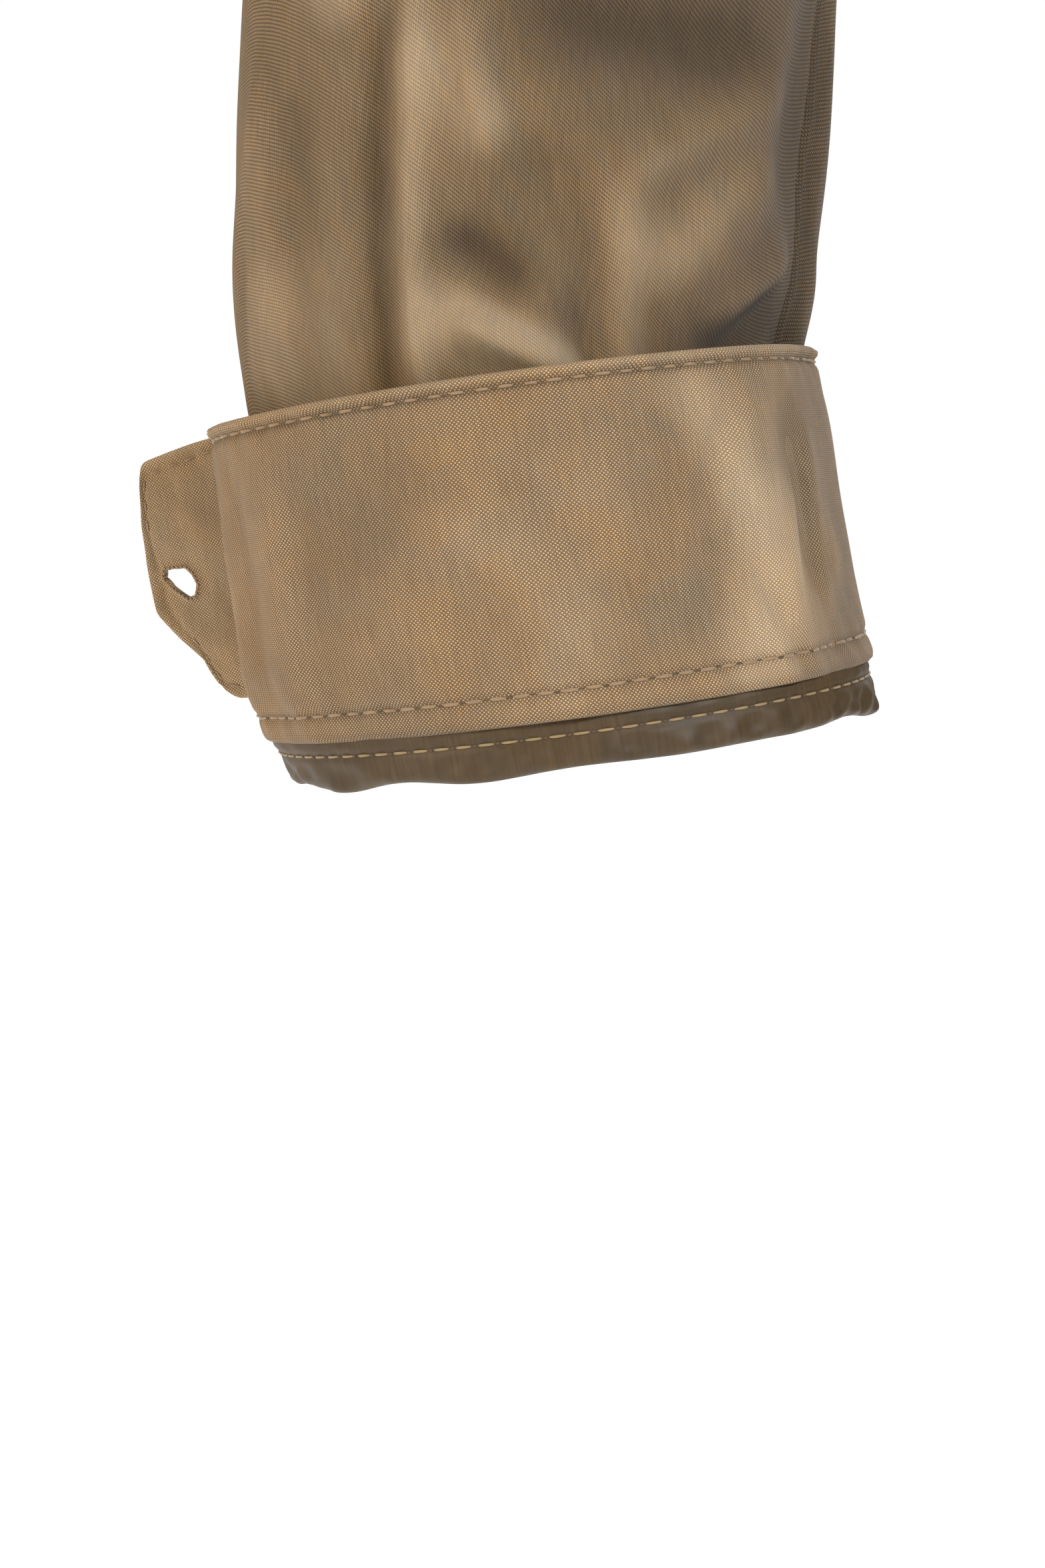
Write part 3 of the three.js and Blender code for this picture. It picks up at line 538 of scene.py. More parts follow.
def woven(name, warp, weft, gap, thread, roughness, sheen, relief):
    """Plain-woven cotton canvas: two-tone yarns crossing over and under, matt, with a soft bloom of loose fibres. The
    real yarns are 0.21 mm apart, and are drawn coarser so that they still show. Over a cell of the weave, the yarn on
    top changes with the sign of sin(u) sin(v), and its height is the root of that product's size."""
    material, tree, shader = new_material(name, {"Roughness": roughness, "Sheen Weight": sheen,
                                                 "Sheen Roughness": 0.5, "Specular IOR Level": 0.25})
    where = cloth_place(tree)
    wobble = noise(tree, where, 260.0, 1.0).outputs["Color"]
    moved = coloured(tree, "ADD", where, coloured(tree, "SCALE", wobble, thread * MM * 0.55))
    axes = add_node(tree, "ShaderNodeSeparateXYZ", {0: moved})
    waves = [reckoned(tree, "SINE", reckoned(tree, "MULTIPLY", axes.outputs[axis], math.pi / (thread * MM)))
             for axis in ("X", "Y")]
    both = reckoned(tree, "MULTIPLY", *waves)
    bulge = reckoned(tree, "POWER", reckoned(tree, "ABSOLUTE", both), 0.5)
    yarns = between(tree, ranged(tree, both, -0.12, 0.12), linear(weft), linear(warp))
    # Along the lines between the yarns, where their bulge is low, the colour goes to the gap colour: painted shade
    # between the yarns.
    cloth = between(tree, ranged(tree, bulge, 0.15, 0.7), linear(gap), yarns)
    # Broad, faint blotches where the yarns lie more or less open, and short streaks of thicker yarn.
    blotch = noise(tree, where, 55.0, 3.0, Roughness=0.6).outputs["Fac"]
    streak = noise(tree, stretched(tree, where, (2200.0, 160.0, 1.0)), 1.0, 1.0).outputs["Fac"]
    tone = reckoned(tree, "MULTIPLY_ADD", blotch, 0.55, reckoned(tree, "MULTIPLY", streak, 0.4))
    toned = coloured(tree, "SCALE", cloth, ranged(tree, tone, 0.3, 0.65, 0.8, 1.2))
    # Rubbed ridges and painted highlights are lighter, and seams' hollows darker with painted shade: brightness goes up
    # with the attribute of wear and painted shading.
    wear_and_shading = add_node(tree, "ShaderNodeAttribute", {"attribute_name": "wear_and_shading"}).outputs["Fac"]
    worn_and_shaded = coloured(tree, "SCALE", toned, reckoned(tree, "MULTIPLY_ADD", wear_and_shading, 0.6, 1.0))
    # Washing leaves clouds of a warmer and a greyer brown, and the most rubbed places, with the painted highlights, go
    # pale and grey.
    cloud = noise(tree, where, 75.0, 4.0, Roughness=0.65, Distortion=0.6).outputs["Fac"]
    dyes = between(tree, ranged(tree, cloud, 0.35, 0.65), (1.05, 1.0, 0.9, 1), (0.94, 0.98, 1.04, 1))
    dyed = coloured(tree, "MULTIPLY", worn_and_shaded, dyes)
    bare_and_highlit = between(tree, ranged(tree, wear_and_shading, 0.1, 1.0, 0.0, 0.32), dyed, linear(PALE_WEAR_AND_HIGHLIGHT))
    finished(tree, shader, bare_and_highlit, bulge, relief, thread * MM * 0.5)
    return material


def satin(name, colour, dark):
    """Polyester lining satin: long floats give a soft gloss, with fine lines along the warp, drawn 0.6 mm apart."""
    material, tree, shader = new_material(name, {"Roughness": 0.55, "Sheen Weight": 0.03, "Specular IOR Level": 0.28})
    where = cloth_place(tree)
    thread = noise(tree, stretched(tree, where, (1700.0, 90.0, 1.0)), 1.0, 2.0).outputs["Fac"]
    both = reckoned(tree, "MULTIPLY", thread, noise(tree, where, 70.0, 2.0).outputs["Fac"])
    tint = between(tree, ranged(tree, both, 0.0, 0.45), linear(dark), linear(colour))
    finished(tree, shader, tint, thread, 0.12)
    return material


def spun_thread(name, colour):
    """Spun polyester sewing thread: matt, a little fuzzy, twisted too finely to show, with slight colour changes."""
    material, tree, shader = new_material(name, {"Roughness": 0.65, "Sheen Weight": 0.3})
    change = noise(tree, object_place(tree), 900.0, 1.0).outputs["Fac"]
    dark = (*(c * 0.7 for c in linear(colour)[:3]), 1)
    finished(tree, shader, between(tree, change, dark, linear(colour)))
    return material


def aged_brass(name):
    """Tumbled and oxidised brass: a metal with brown in its low spots and brighter, smoother high spots."""
    material, tree, shader = new_material(name, {"Metallic": 1.0})
    stain = noise(tree, object_place(tree), 420.0, 4.0).outputs["Fac"]
    share = ranged(tree, stain, 0.35, 0.65)
    tree.links.new(ranged(tree, share, 0.0, 1.0, 0.58, 0.36), shader.inputs["Roughness"])
    finished(tree, shader, between(tree, share, linear(0x54401F), linear(0x9C7F48)), stain, 0.15)
    return material


def horn(name):
    """Polished buffalo horn: dark brown with lighter streaks along the grain, and a clear gloss."""
    material, tree, shader = new_material(name, {"Roughness": 0.38, "Coat Weight": 0.1})
    grain = stretched(tree, object_place(tree), (60.0, 60.0, 420.0))
    streak = noise(tree, grain, 1.0, 4.0, Distortion=1.2).outputs["Fac"]
    finished(tree, shader, between(tree, ranged(tree, streak, 0.4, 0.7), linear(0x32241A), linear(0x7C6248)))
    return material


def painted_hole_shade(name):
    """Painted shade for a needle hole, standing for shadowed thread and air: dark, dull brown without any pattern."""
    return new_material(name, {"Base Color": linear(0x4A3A2A), "Roughness": 0.9})[0]


MATERIALS = {}


def made_of(name):
    """The named material, made the first time that it is asked for."""
    colours = bpy.context.scene.jacket_colours

    def hexed(value):
        return int(round(value[0] * 255)) << 16 | int(round(value[1] * 255)) << 8 | int(round(value[2] * 255))

    makers = {
        "body_canvas": lambda: woven("plain_woven_canvas", hexed(colours.warp), hexed(colours.weft), 0x433425,
                                     bpy.context.scene.jacket_sizes.thread, 0.85, 0.08, 0.9),
        "cuff_canvas": lambda: woven("plain_woven_facing", hexed(colours.cuff_warp), hexed(colours.cuff_weft), 0x5C4833,
                                     bpy.context.scene.jacket_sizes.thread, 0.8, 0.1, 0.9),
        "lining": lambda: satin("lining_satin", hexed(colours.lining), 0x2C2213),
        "thread": lambda: spun_thread("tonal_thread", 0x846A4B),
        "gold_thread": lambda: spun_thread("golden_thread", 0x856E44),
        "brass": lambda: aged_brass("aged_brass"),
        "horn": lambda: horn("polished_horn"),
        "needle_hole": lambda: painted_hole_shade("needle_hole_shadow"),
        "tape": lambda: woven("zip_tape_weave", 0x7A6850, 0x6A5843, 0x4E4132, 0.6, 0.8, 0.1, 0.6),
    }
    if name not in MATERIALS:
        MATERIALS[name] = makers[name]()
    return MATERIALS[name]


# ---- What the user can change ----
def colour(name, about, value):
    """A colour that the user can change, from its sRGB hex value."""
    return FloatVectorProperty(name=name, description=about, subtype="COLOR", size=3, min=0, max=1,
                               default=[((value >> shift) & 255) / 255 for shift in (16, 8, 0)])


class JacketColours(bpy.types.PropertyGroup):
    """Colours of the cloth, as sRGB shares."""
    warp: colour("Warp", "Lighter yarn of the body and sleeves", 0x937B5D)
    weft: colour("Weft", "Darker yarn of the body and sleeves", 0x5C4A34)
    cuff_warp: colour("Cuff warp", "Lighter yarn of the cuff's facing", 0xA48B6B)
    cuff_weft: colour("Cuff weft", "Darker yarn of the cuff's facing", 0x645039)
    lining: colour("Lining", "Lighter tone of the satin lining", 0x46361F)


class JacketSizes(bpy.types.PropertyGroup):
    """Sizes of the cloth's detail, in millimetres."""
    thread: FloatProperty(name="Thread", description="Spacing of the drawn yarns, mm", default=0.3, min=0.2, max=3)
    stitch: FloatProperty(name="Stitch", description="Length of one stitch and its gap, mm", default=3.6, min=1, max=10)
    cloth: FloatProperty(name="Cloth", description="Thickness of one layer of cloth, mm", default=1.1, min=0.3, max=3)
    fold: FloatProperty(name="Folds", description="Height of the cloth's folds against their usual one", default=1.0,
                        min=0, max=2)


# ---- Body ----
def from_spine(points):
    """Roughly outwards on the body: away from its upright middle line, and up near the shoulders."""
    return np.stack([points[..., 0], points[..., 1], np.maximum(0, points[..., 2] + 150) * 0.9], -1)


FRONT_FOLDS = (
    (188, -232, 96, -330, 13, 4.5), (192, -250, 120, -372, 11, -3.5), (186, -226, 60, -268, 15, 3.0),
    (200, -420, 100, -452, 15, 4.0), (200, -448, 84, -470, 12, -3.0), (198, -392, 118, -404, 12, -2.5),
    (150, -120, 110, -205, 18, 3.0), (96, -60, 66, -200, 16, -2.2), (186, -560, 168, -690, 16, 4.5),
    (140, -600, 146, -700, 14, -3.0), (30, -560, 26, -690, 16, 2.4), (60, -330, 40, -470, 20, 2.6),
)
BACK_FOLDS = (
    (180, -236, 60, -330, 14, 5.0), (186, -262, 76, -380, 12, -4.0), (-176, -232, -70, -318, 13, 4.5),
    (-188, -266, -66, -366, 12, -3.6), (196, -424, 40, -452, 14, 5.0), (190, -452, 60, -478, 12, -3.4),
    (-196, -418, -50, -440, 15, 4.6), (-190, -446, -40, -470, 12, -3.6), (60, -480, 76, -690, 18, 4.6),
    (112, -520, 128, -700, 15, -3.2), (-64, -500, -84, -700, 18, 4.4), (-120, -540, -132, -700, 15, -3.4),
    (4, -540, -6, -700, 16, 3.0), (30, -110, 12, -260, 20, 2.6), (-34, -120, -20, -280, 22, 2.4),
)
POCKET_NODES = ("left_hip_pocket", "right_hip_pocket", "left_chest_pocket")


def pocket_quiet(points):
    """0 over a pocket, where the doubled cloth lies flat, rising to 1 a few centimetres away from it."""
    quiet = np.ones(points.shape[:-1])
    for name in POCKET_NODES:
        box_low, box_high = low(name), high(name)
        away = np.hypot(np.maximum(0, np.maximum(box_low[0] - points[..., 0], points[..., 0] - box_high[0])),
                        np.maximum(0, np.maximum(box_low[2] - points[..., 2], points[..., 2] - box_high[2] - 12)))
        quiet = np.minimum(quiet, np.where(points[..., 1] < 0, 0.08 + 0.92 * smooth(2, 34, away), 1))
    return quiet


def panel_height(points, side, face):
    """Height of the folds on a body panel, fading out at its seams, its front edge and its pockets."""
    x, z = points[..., 0], points[..., 2]
    size = bpy.context.scene.jacket_sizes.fold
    folds = creases(x if face > 0 else x * side, z, BACK_FOLDS if face > 0 else FRONT_FOLDS)
    folds = 1.7 * folds + 2.0 * ripples(x, z, 7 if face > 0 else 3 + side, 120, stretch=1.8)
    folds = folds + 0.8 * ripples(x, z, 19 + side, 42, count=6)
    wave = 3.2 * np.sin(x / 31 + 0.8 * side) * smooth(-560, HEM, z)
    half = eased(HALF_WIDTH, z)
    at_side = smooth(0, 26, np.minimum(half, 206) - np.abs(x)) if face > 0 else smooth(0, 26, half - np.abs(x))
    at_top = smooth(0, 40, shoulder_line(x) - z)
    hole_x, hole_z = armhole_edge(face, np.linspace(0, 1, 60))
    gap = np.min(np.hypot(np.abs(x)[..., None] - hole_x, z[..., None] - hole_z), -1)
    drop = NECK_FRONT_DROP if face < 0 else NECK_BACK_DROP
    neck = np.hypot(x / NECK_HALF, np.minimum(0, z) / drop)
    at_neck = smooth(1.0, 1.5, np.where(z > -drop * 2, neck, 2.0))
    quiet = at_side * at_top * smooth(0, 24, gap) * at_neck * pocket_quiet(points)
    if face < 0:
        quiet = quiet * smooth(14, 46, np.abs(x))
    return size * quiet * (folds + wave)


def cloth_uv(points):
    """UV grid in millimetres: across from the middle column, and up from the first row."""
    across = walked(points, 1)
    middle = across[:, across.shape[1] // 2][:, None]
    return np.stack([across - middle, np.broadcast_to(points[..., 2], across.shape)], -1)


PANELS = {}


def build_body():
    """Back and fronts as cloth surfaces over their patterns, with folds, and their satin lining behind them."""
    sizes = bpy.context.scene.jacket_sizes
    back = [body_grid(1, side, 0.0, 90, 170) for side in (-1, 1)]
    shapes = {
        "back": (np.concatenate([back[0][:, :0:-1], back[1]], 1), 1, 0),
        "left_front": (body_grid(-1, 1, FRONT_GAP, 90, 170), -1, 1),
        "right_front": (body_grid(-1, -1, FRONT_GAP, 90, 170), -1, -1),
    }
    for name, (points, face, side) in shapes.items():
        normals = normals_of(points, from_spine(points))
        seam = (np.abs(points[..., 1]) < 3)[..., None]
        normals = unit(np.where(seam, normals * np.array((1.0, 0.0, 1.0)), normals))
        height = panel_height(points, side or 1, face)
        shown = points + normals * height[..., None]
        PANELS[name] = (shown, normals_of(shown, from_spine(shown)))
        uv = cloth_uv(points)
        from_hem = points[..., 2] - HEM
        # Wear with painted shading: fold tops lighter and hollows darker by the folds' height (painted highlight and
        # shade), the hem's edge lighter, and painted shade along the stitch row 20 mm above the hem.
        wear_and_shading = 0.07 * height + 0.3 * bell(from_hem, 3) + groove(from_hem, 20, 3, 0.3)
        piece = thicken(surface(f"{name}_cloth", shown, uv, normals, made_of("body_canvas"), wear_and_shading=wear_and_shading), sizes.cloth)
        fitted(piece, "body", f"{name}_panel")
        declare_sheet(points)
        behind = shown - normals * SATIN_BEHIND
        inner = thicken(surface(f"{name}_satin", behind, uv, normals, made_of("lining")), SATIN_THICK)
        fitted(inner, "body", f"{name}_lining")
        declare_sheet(points)
    body_stitches()


def declare_sheet(points):
    """Works out the flat size and area of the surface that a piece was worked out from, and keeps neither."""
    across, up = walked(points, 1)[:, -1].max(), walked(points, 0)[-1].max()
    a, b = points[1:, :-1] - points[:-1, :-1], points[:-1, 1:] - points[:-1, :-1]
    area = np.linalg.norm(np.cross(a, b), axis=-1).sum()
    area = min(max(area, 0.31 * across * up), across * up)


def body_stitches():
    """Rows of top-stitching: two above the hem, two beside the zip, and one beside each shoulder seam."""
    for name, (points, normals) in PANELS.items():
        tall, wide = walked(points, 0)[-1].mean(), walked(points, 1)[:, -1].mean()
        rows = [row_on(points, normals, d / tall) for d in (3.0, 20.0)] + [row_on(points, normals, 1 - 3.0 / tall)]
        if name != "back":
            rows += [row_on(points, normals, d / wide, 1) for d in (2.4, 9.0)]
        sewn(f"{name}_stitches", rows, "body", radius=0.34)


def joined(objects, name):
    """The given mesh objects as one."""
    with bpy.context.temp_override(active_object=objects[0], selected_editable_objects=objects):
        bpy.ops.object.join()
    objects[0].name = objects[0].data.name = name
    return objects[0]


# ---- Sleeves ----
SLEEVE_DEGREE, CUFF_DEGREE = 0.85, 0.86  # millimetres round the sleeve and the cuff to a degree
# Folds round and along a sleeve: degrees and share of its length, then width in millimetres and height.
SLEEVE_FOLDS = (
    (20, 0.10, 140, 0.24, 12, 3.6), (40, 0.17, 150, 0.30, 11, -2.6), (200, 0.12, 320, 0.26, 12, 4.0),
    (150, 0.30, 250, 0.22, 11, 3.4), (80, 0.50, 190, 0.56, 10, 5.0), (70, 0.56, 180, 0.60, 10, -3.6),
    (60, 0.44, 170, 0.47, 10, -3.0), (90, 0.62, 190, 0.66, 10, 4.0), (230, 0.52, 330, 0.47, 12, 3.4),
    (220, 0.60, 340, 0.56, 12, 3.6), (230, 0.66, 320, 0.64, 10, -2.6), (-30, 0.34, 50, 0.46, 13, 3.2),
    (-50, 0.62, 30, 0.74, 13, 2.8), (250, 0.76, 300, 0.87, 12, 3.0), (30, 0.30, 60, 0.20, 13, -2.2),
)
# The folds just above the cuff, where the cloth bunches as the sleeve narrows: two long ridges with a valley beside
# each, a broad hollow above, and short slanting folds where the cuff's edge holds the cloth.
WRIST_FOLDS = (
    (68, 0.765, 69, 0.93, 3.4, 3.0), (61, 0.77, 61.5, 0.93, 3.4, -1.5), (107, 0.825, 108, 0.94, 4.2, 2.4),
    (99.5, 0.83, 100, 0.94, 3.2, -1.1), (40, 0.765, 60, 0.80, 5.5, 2.6), (75, 0.785, 84, 0.84, 3.6, 2.6),
    (76, 0.795, 142, 0.800, 8.0, -3.4), (102, 0.842, 146, 0.80, 4.4, 2.6), (112, 0.872, 144, 0.82, 7.0, 2.4),
    (73, 0.874, 100, 0.895, 3.2, 3.6), (74, 0.852, 90, 0.872, 3.4, -2.4), (122, 0.890, 156, 0.860, 4.2, -2.2),
    (126, 0.877, 154, 0.846, 3.6, 2.0), (30, 0.78, 27, 0.92, 5.0, 1.4), (40, 0.80, 41, 0.92, 5.0, -1.2),
    (86, 0.825, 99, 0.862, 5.0, -1.6), (152, 0.76, 148, 0.85, 7.0, -2.2),
)


def sleeve_creases(degrees, s, lines):
    """Creases given by degrees and shares of the sleeve's length."""
    scaled = [(a0 * SLEEVE_DEGREE, b0 * ARM_LENGTH, a1 * SLEEVE_DEGREE, b1 * ARM_LENGTH, width, height)
              for a0, b0, a1, b1, width, height in lines]
    return creases(degrees * SLEEVE_DEGREE, s * ARM_LENGTH, scaled)


def sleeve_height(s, degrees, side):
    """Height of a sleeve's folds. Angles wrap, so each fold is also tried a full turn away."""
    size = bpy.context.scene.jacket_sizes.fold
    total = np.zeros(s.shape)
    for turn in (-360, 0, 360):
        for folds in (SLEEVE_FOLDS, WRIST_FOLDS):
            total = total + sleeve_creases(degrees + turn, s, folds)
    around = np.radians(degrees)
    soft = ripples(60 * np.cos(around), 60 * np.sin(around) + s * ARM_LENGTH, 31 + side, 95, count=6)
    fine = ripples(52 * np.cos(around), 52 * np.sin(around) + s * ARM_LENGTH, 41 + side, 30, count=6)
    return size * smooth(0.015, 0.1, s) * (total + 0.9 * soft + 0.25 * fine)


# Lighter and darker marks above the cuff: painted highlights on the folds, which are rubbed pale as well, and painted
# shade in their hollows: as the folds, but a share of brightness.
WRIST_WEAR_AND_SHADING = (
    (66, 0.868, 104, 0.898, 5.6, 1.3), (68, 0.765, 69, 0.93, 2.6, 0.3), (108, 0.825, 110, 0.94, 5.0, 0.2),
    (61, 0.77, 61.5, 0.93, 2.4, -0.15), (99.5, 0.83, 100, 0.94, 2.4, -0.2), (76, 0.790, 146, 0.795, 9.0, -0.45),
    (120, 0.892, 156, 0.864, 3.4, -0.25), (72, 0.848, 92, 0.866, 4.0, -0.45), (112, 0.74, 150, 0.765, 9.0, -0.3),
    (40, 0.765, 58, 0.80, 5.0, 0.35), (108, 0.868, 136, 0.825, 7.0, 0.4), (66, 0.800, 84, 0.835, 5.0, 0.5),
    (36, 0.85, 52, 0.91, 13.0, 0.6), (20, 0.80, 50, 0.83, 8.0, -0.25), (86, 0.86, 108, 0.84, 6.0, 0.2),
)


def seam_step(degrees, at):
    """The step where one edge of cloth laps over another at a lengthwise seam."""
    width, height = 2.0, 0.9
    gap = (np.mod(degrees - at + 180, 360) - 180) * SLEEVE_DEGREE
    return height * np.where(gap < 0, bell(gap, width * 4), -0.6 * bell(gap, width))


def sleeve_normals(points, s):
    """Normals of a sleeve's surface, away from its middle line."""
    centre, _ = arm_centre(s)
    return normals_of(points, points - centre, round_columns=True)


def build_sleeve(name):
    """One sleeve with its head: a closed tube with folds, laps at its two seams, and a satin tube inside it."""
    side, sizes = SIDES[name], bpy.context.scene.jacket_sizes
    rows, columns = 420, 300
    # More rows near the cuff, where the cloth is seen closest.
    s = (1 - (1 - np.linspace(0, 1, rows)) ** 1.25)[:, None] * 0.985 + np.zeros((1, columns))
    degrees = np.linspace(SEAM_BACK, SEAM_BACK + 360, columns, endpoint=False)[None, :] + np.zeros_like(s)
    flat = sleeve_points(s, degrees)
    normals = sleeve_normals(flat, s)
    laps = (seam_step(degrees, SEAM_FRONT) + seam_step(degrees, SEAM_BACK)) * smooth(0.02, 0.06, s)
    inside_cuff = smooth(0.885, 0.92, s)
    height = sleeve_height(s, degrees, side) * (1 - 0.8 * inside_cuff) + laps - 0.8 * inside_cuff
    # Above the cuff, the front lap turns in at its edge and the cloth behind it swells out past it.
    behind = np.mod(degrees - SEAM_FRONT + 180, 360) - 180
    lap = smooth(0.70, 0.80, s) * (1 - smooth(0.885, 0.905, s))
    turned_in = -2.6 * bell(behind + 3, 8) * (behind < 3) - 1.3 * bell(behind, 1.6)
    swollen = 0.8 * bell(behind - 20, 16) - 2.3 * bell(behind - 3, 3)
    height = height + lap * np.where(behind > 3, swollen, turned_in)
    shown = flat + normals * height[..., None]
    start = arm_uv(flat)
    # Wear with painted shading: fold tops lighter and hollows darker by their height (painted highlight and shade), a
    # painted light band round 10 degrees, the marks above the cuff, painted shade from 108 degrees to the front seam,
    # and painted shade on the lap's edge and the cloth just behind it.
    rubbed_and_shaded = sleeve_creases(degrees, s, WRIST_WEAR_AND_SHADING)
    wear_and_shading = (0.15 * (height - 0.4) + 0.08 * smooth(50, 20, np.abs(degrees - 10)) + rubbed_and_shaded
            - 0.5 * smooth(108, 145, degrees) * (behind < 0)
            - lap * (0.5 * bell(behind, 2.0) + 0.8 * (behind > 1) * (1 - smooth(26, 44, behind))))
    for part, points, material, thick, replaced in (
            ("cloth", shown, "body_canvas", sizes.cloth, ("sleeve_head", "top_sleeve", "under_sleeve")),
            ("satin", shown - normals * SATIN_BEHIND, "lining", SATIN_THICK, ("sleeve_head_lining", "sleeve_lining"))):
        outward = mirrored(normals, side)
        piece = thicken(surface(f"{name}_sleeve_{part}", mirrored(points, side), start, outward, made_of(material),
                                round_columns=True, wear_and_shading=wear_and_shading), thick)
        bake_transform(piece)
        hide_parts(*(f"{name}_{node}" for node in replaced))
        declare_sheet(np.concatenate([flat, flat[:, :1]], 1))
    return shown, normals


def arm_uv(points):
    """UV grid of a sleeve in millimetres, with one more column where the tube closes."""
    closed = np.concatenate([points, points[:, :1]], 1)
    around = walked(closed, 1)
    along = walked(closed, 0)
    return np.stack([around - around[:, -1:] / 2, -along], -1)


# ---- Cuffs ----
def cuff_band_profile():
    """(out, height) of the cuff's cloth, once round its section: up the inside, over the rolled free edge, down the
    face and round the lower edge. Heights are in millimetres from the fold."""
    inner, edge = -1.7, CUFF_HEIGHT
    up = np.stack([np.full(10, inner), np.linspace(LINING_SHOW + 0.8, edge - 1.2, 10)], -1)
    turn = np.linspace(math.pi, 0, 9)[1:-1]
    roll = np.stack([inner / 2 - inner / 2 * np.cos(turn), edge - 1.0 + 1.0 * np.sin(turn)], -1)
    face = np.linspace(edge - 1.2, LINING_SHOW + 0.8, 84)
    down = np.stack([np.zeros(84), face], -1)
    low_turn = np.linspace(0, -math.pi, 8)[1:-1]
    under = np.stack([inner / 2 - inner / 2 * np.cos(low_turn), LINING_SHOW + 0.7 + 0.7 * np.sin(low_turn)], -1)
    return np.concatenate([up, roll, down, under])


def groove(height, at, width, depth):
    """A soft valley of the given depth round a height, where a row of stitches pulls the cloth in."""
    return -depth * bell(height - at, width)


CUFF_TOP_ROW, CUFF_LOW_ROW, LINING_ROW = CUFF_HEIGHT - 2.1, LINING_SHOW + 4.3, LINING_SHOW - 2.2


def cuff_form(height, degrees):
    """How the whole cuff departs from its plain band: it swells over its lower outer side and tucks in at the fold."""
    outer = np.cos(np.radians(np.clip(degrees, -75, 75)) * 1.2)
    return outer * (1.8 * bell(height - 18, 10) - 2.2 * bell(height, 5.5)
                    - 0.7 * smooth(46, 58, height))


def cuff_relief(height, degrees, side):
    """Relief of the cuff's face: pulled-in stitch rows under a rolled edge, slanting puckers that fade away from the
    rows, and long shallow swells."""
    around = degrees * CUFF_DEGREE
    rows = groove(height, CUFF_TOP_ROW, 0.8, 0.75) + groove(height, CUFF_LOW_ROW, 0.9, 0.5)
    roll = 0.45 * bell(height - CUFF_HEIGHT + 0.7, 0.9) + 0.25 * bell(height - 8.6, 1.3)
    near = np.exp(-np.abs(height - CUFF_TOP_ROW) / 4) + 0.9 * np.exp(-np.abs(height - CUFF_LOW_ROW) / 5)
    pucker = 0.2 * near * np.sin(2 * math.pi * (around + 0.5 * height) / 7.2 + 1.4 * np.sin(around / 19))
    beads = 0.1 * bell(height - CUFF_TOP_ROW, 1.6) * np.cos(2 * math.pi * around / 3.6)
    swell = 0.8 * ripples(around, height, 5 + side, 46, count=5, stretch=1.4)
    swell = swell + 0.34 * ripples(around, height, 15 + side, 17, count=6, stretch=1.6)
    slant = creases(around, height, (
        (114, 4, 113, 56, 7, 1.5), (127, 4, 124, 54, 5, -1.3), (100, 10, 104, 50, 6, -0.7), (86, 12, 62, 46, 6, 0.8),
        (76, 8, 54, 40, 5, -0.6), (94, 30, 72, 54, 5, 0.5), (118, 12, 140, 30, 5, 0.9), (30, 8, 33, 54, 4, 0.6),
        (22, 6, 24, 56, 3.2, -0.7), (15, 6, 16, 50, 3, 0.6), (38, 6, 40, 52, 3.4, -0.5), (134, 6, 140, 50, 5, -0.5),
        (52, 6, 60, 30, 6, 0.5), (112, 10, 124, 44, 2.2, 0.7), (100, 34, 112, 52, 2.0, -0.6),
        (118, 4, 108, 30, 2.0, -0.5), (126, 12, 132, 50, 2.2, 0.6), (94, 20, 104, 44, 2.5, 0.5)))
    return rows + roll + pucker + beads + swell + 1.25 * slant


def cuff_wear_and_shading(height, degrees, relief):
    """Wear and painted shading of the cuff's face: lighter along the rolled edges, rubbed pale with a painted
    highlight; painted highlights on the high folds and in a streak round 117 to 137 degrees; painted shade in the
    stitch rows, along the lower edge and in the hollows; and darker round 20 and 165 degrees.
    """
    edge = 0.32 * bell(height - CUFF_HEIGHT + 0.6, 0.8)
    rows = groove(height, CUFF_TOP_ROW - 0.1, 0.55, 0.6) + groove(height, CUFF_LOW_ROW, 0.6, 0.35)
    low_edge = groove(height, LINING_SHOW + 0.6, 0.8, 0.3)
    around = -0.1 * bell(degrees - 20, 34) - 0.2 * bell(degrees - 165, 12)
    bare_and_highlit = creases(degrees * CUFF_DEGREE, height, ((104, 2, 118, 40, 7, 0.75), (112, 30, 101, 60, 5, 0.6),
                                            (60, 2, 92, 26, 9, 0.1), (34, 24, 70, 50, 8, -0.2)))
    return edge + rows + low_edge + around + bare_and_highlit + 0.14 * np.clip(relief, -1.4, 1.8)


def ring_at(height, degrees, out, side):
    """Points of the cuff's surface at heights in millimetres from the fold."""
    return mirrored(cuff_points(height / CUFF_HEIGHT, degrees, out + cuff_form(height, degrees)), side)


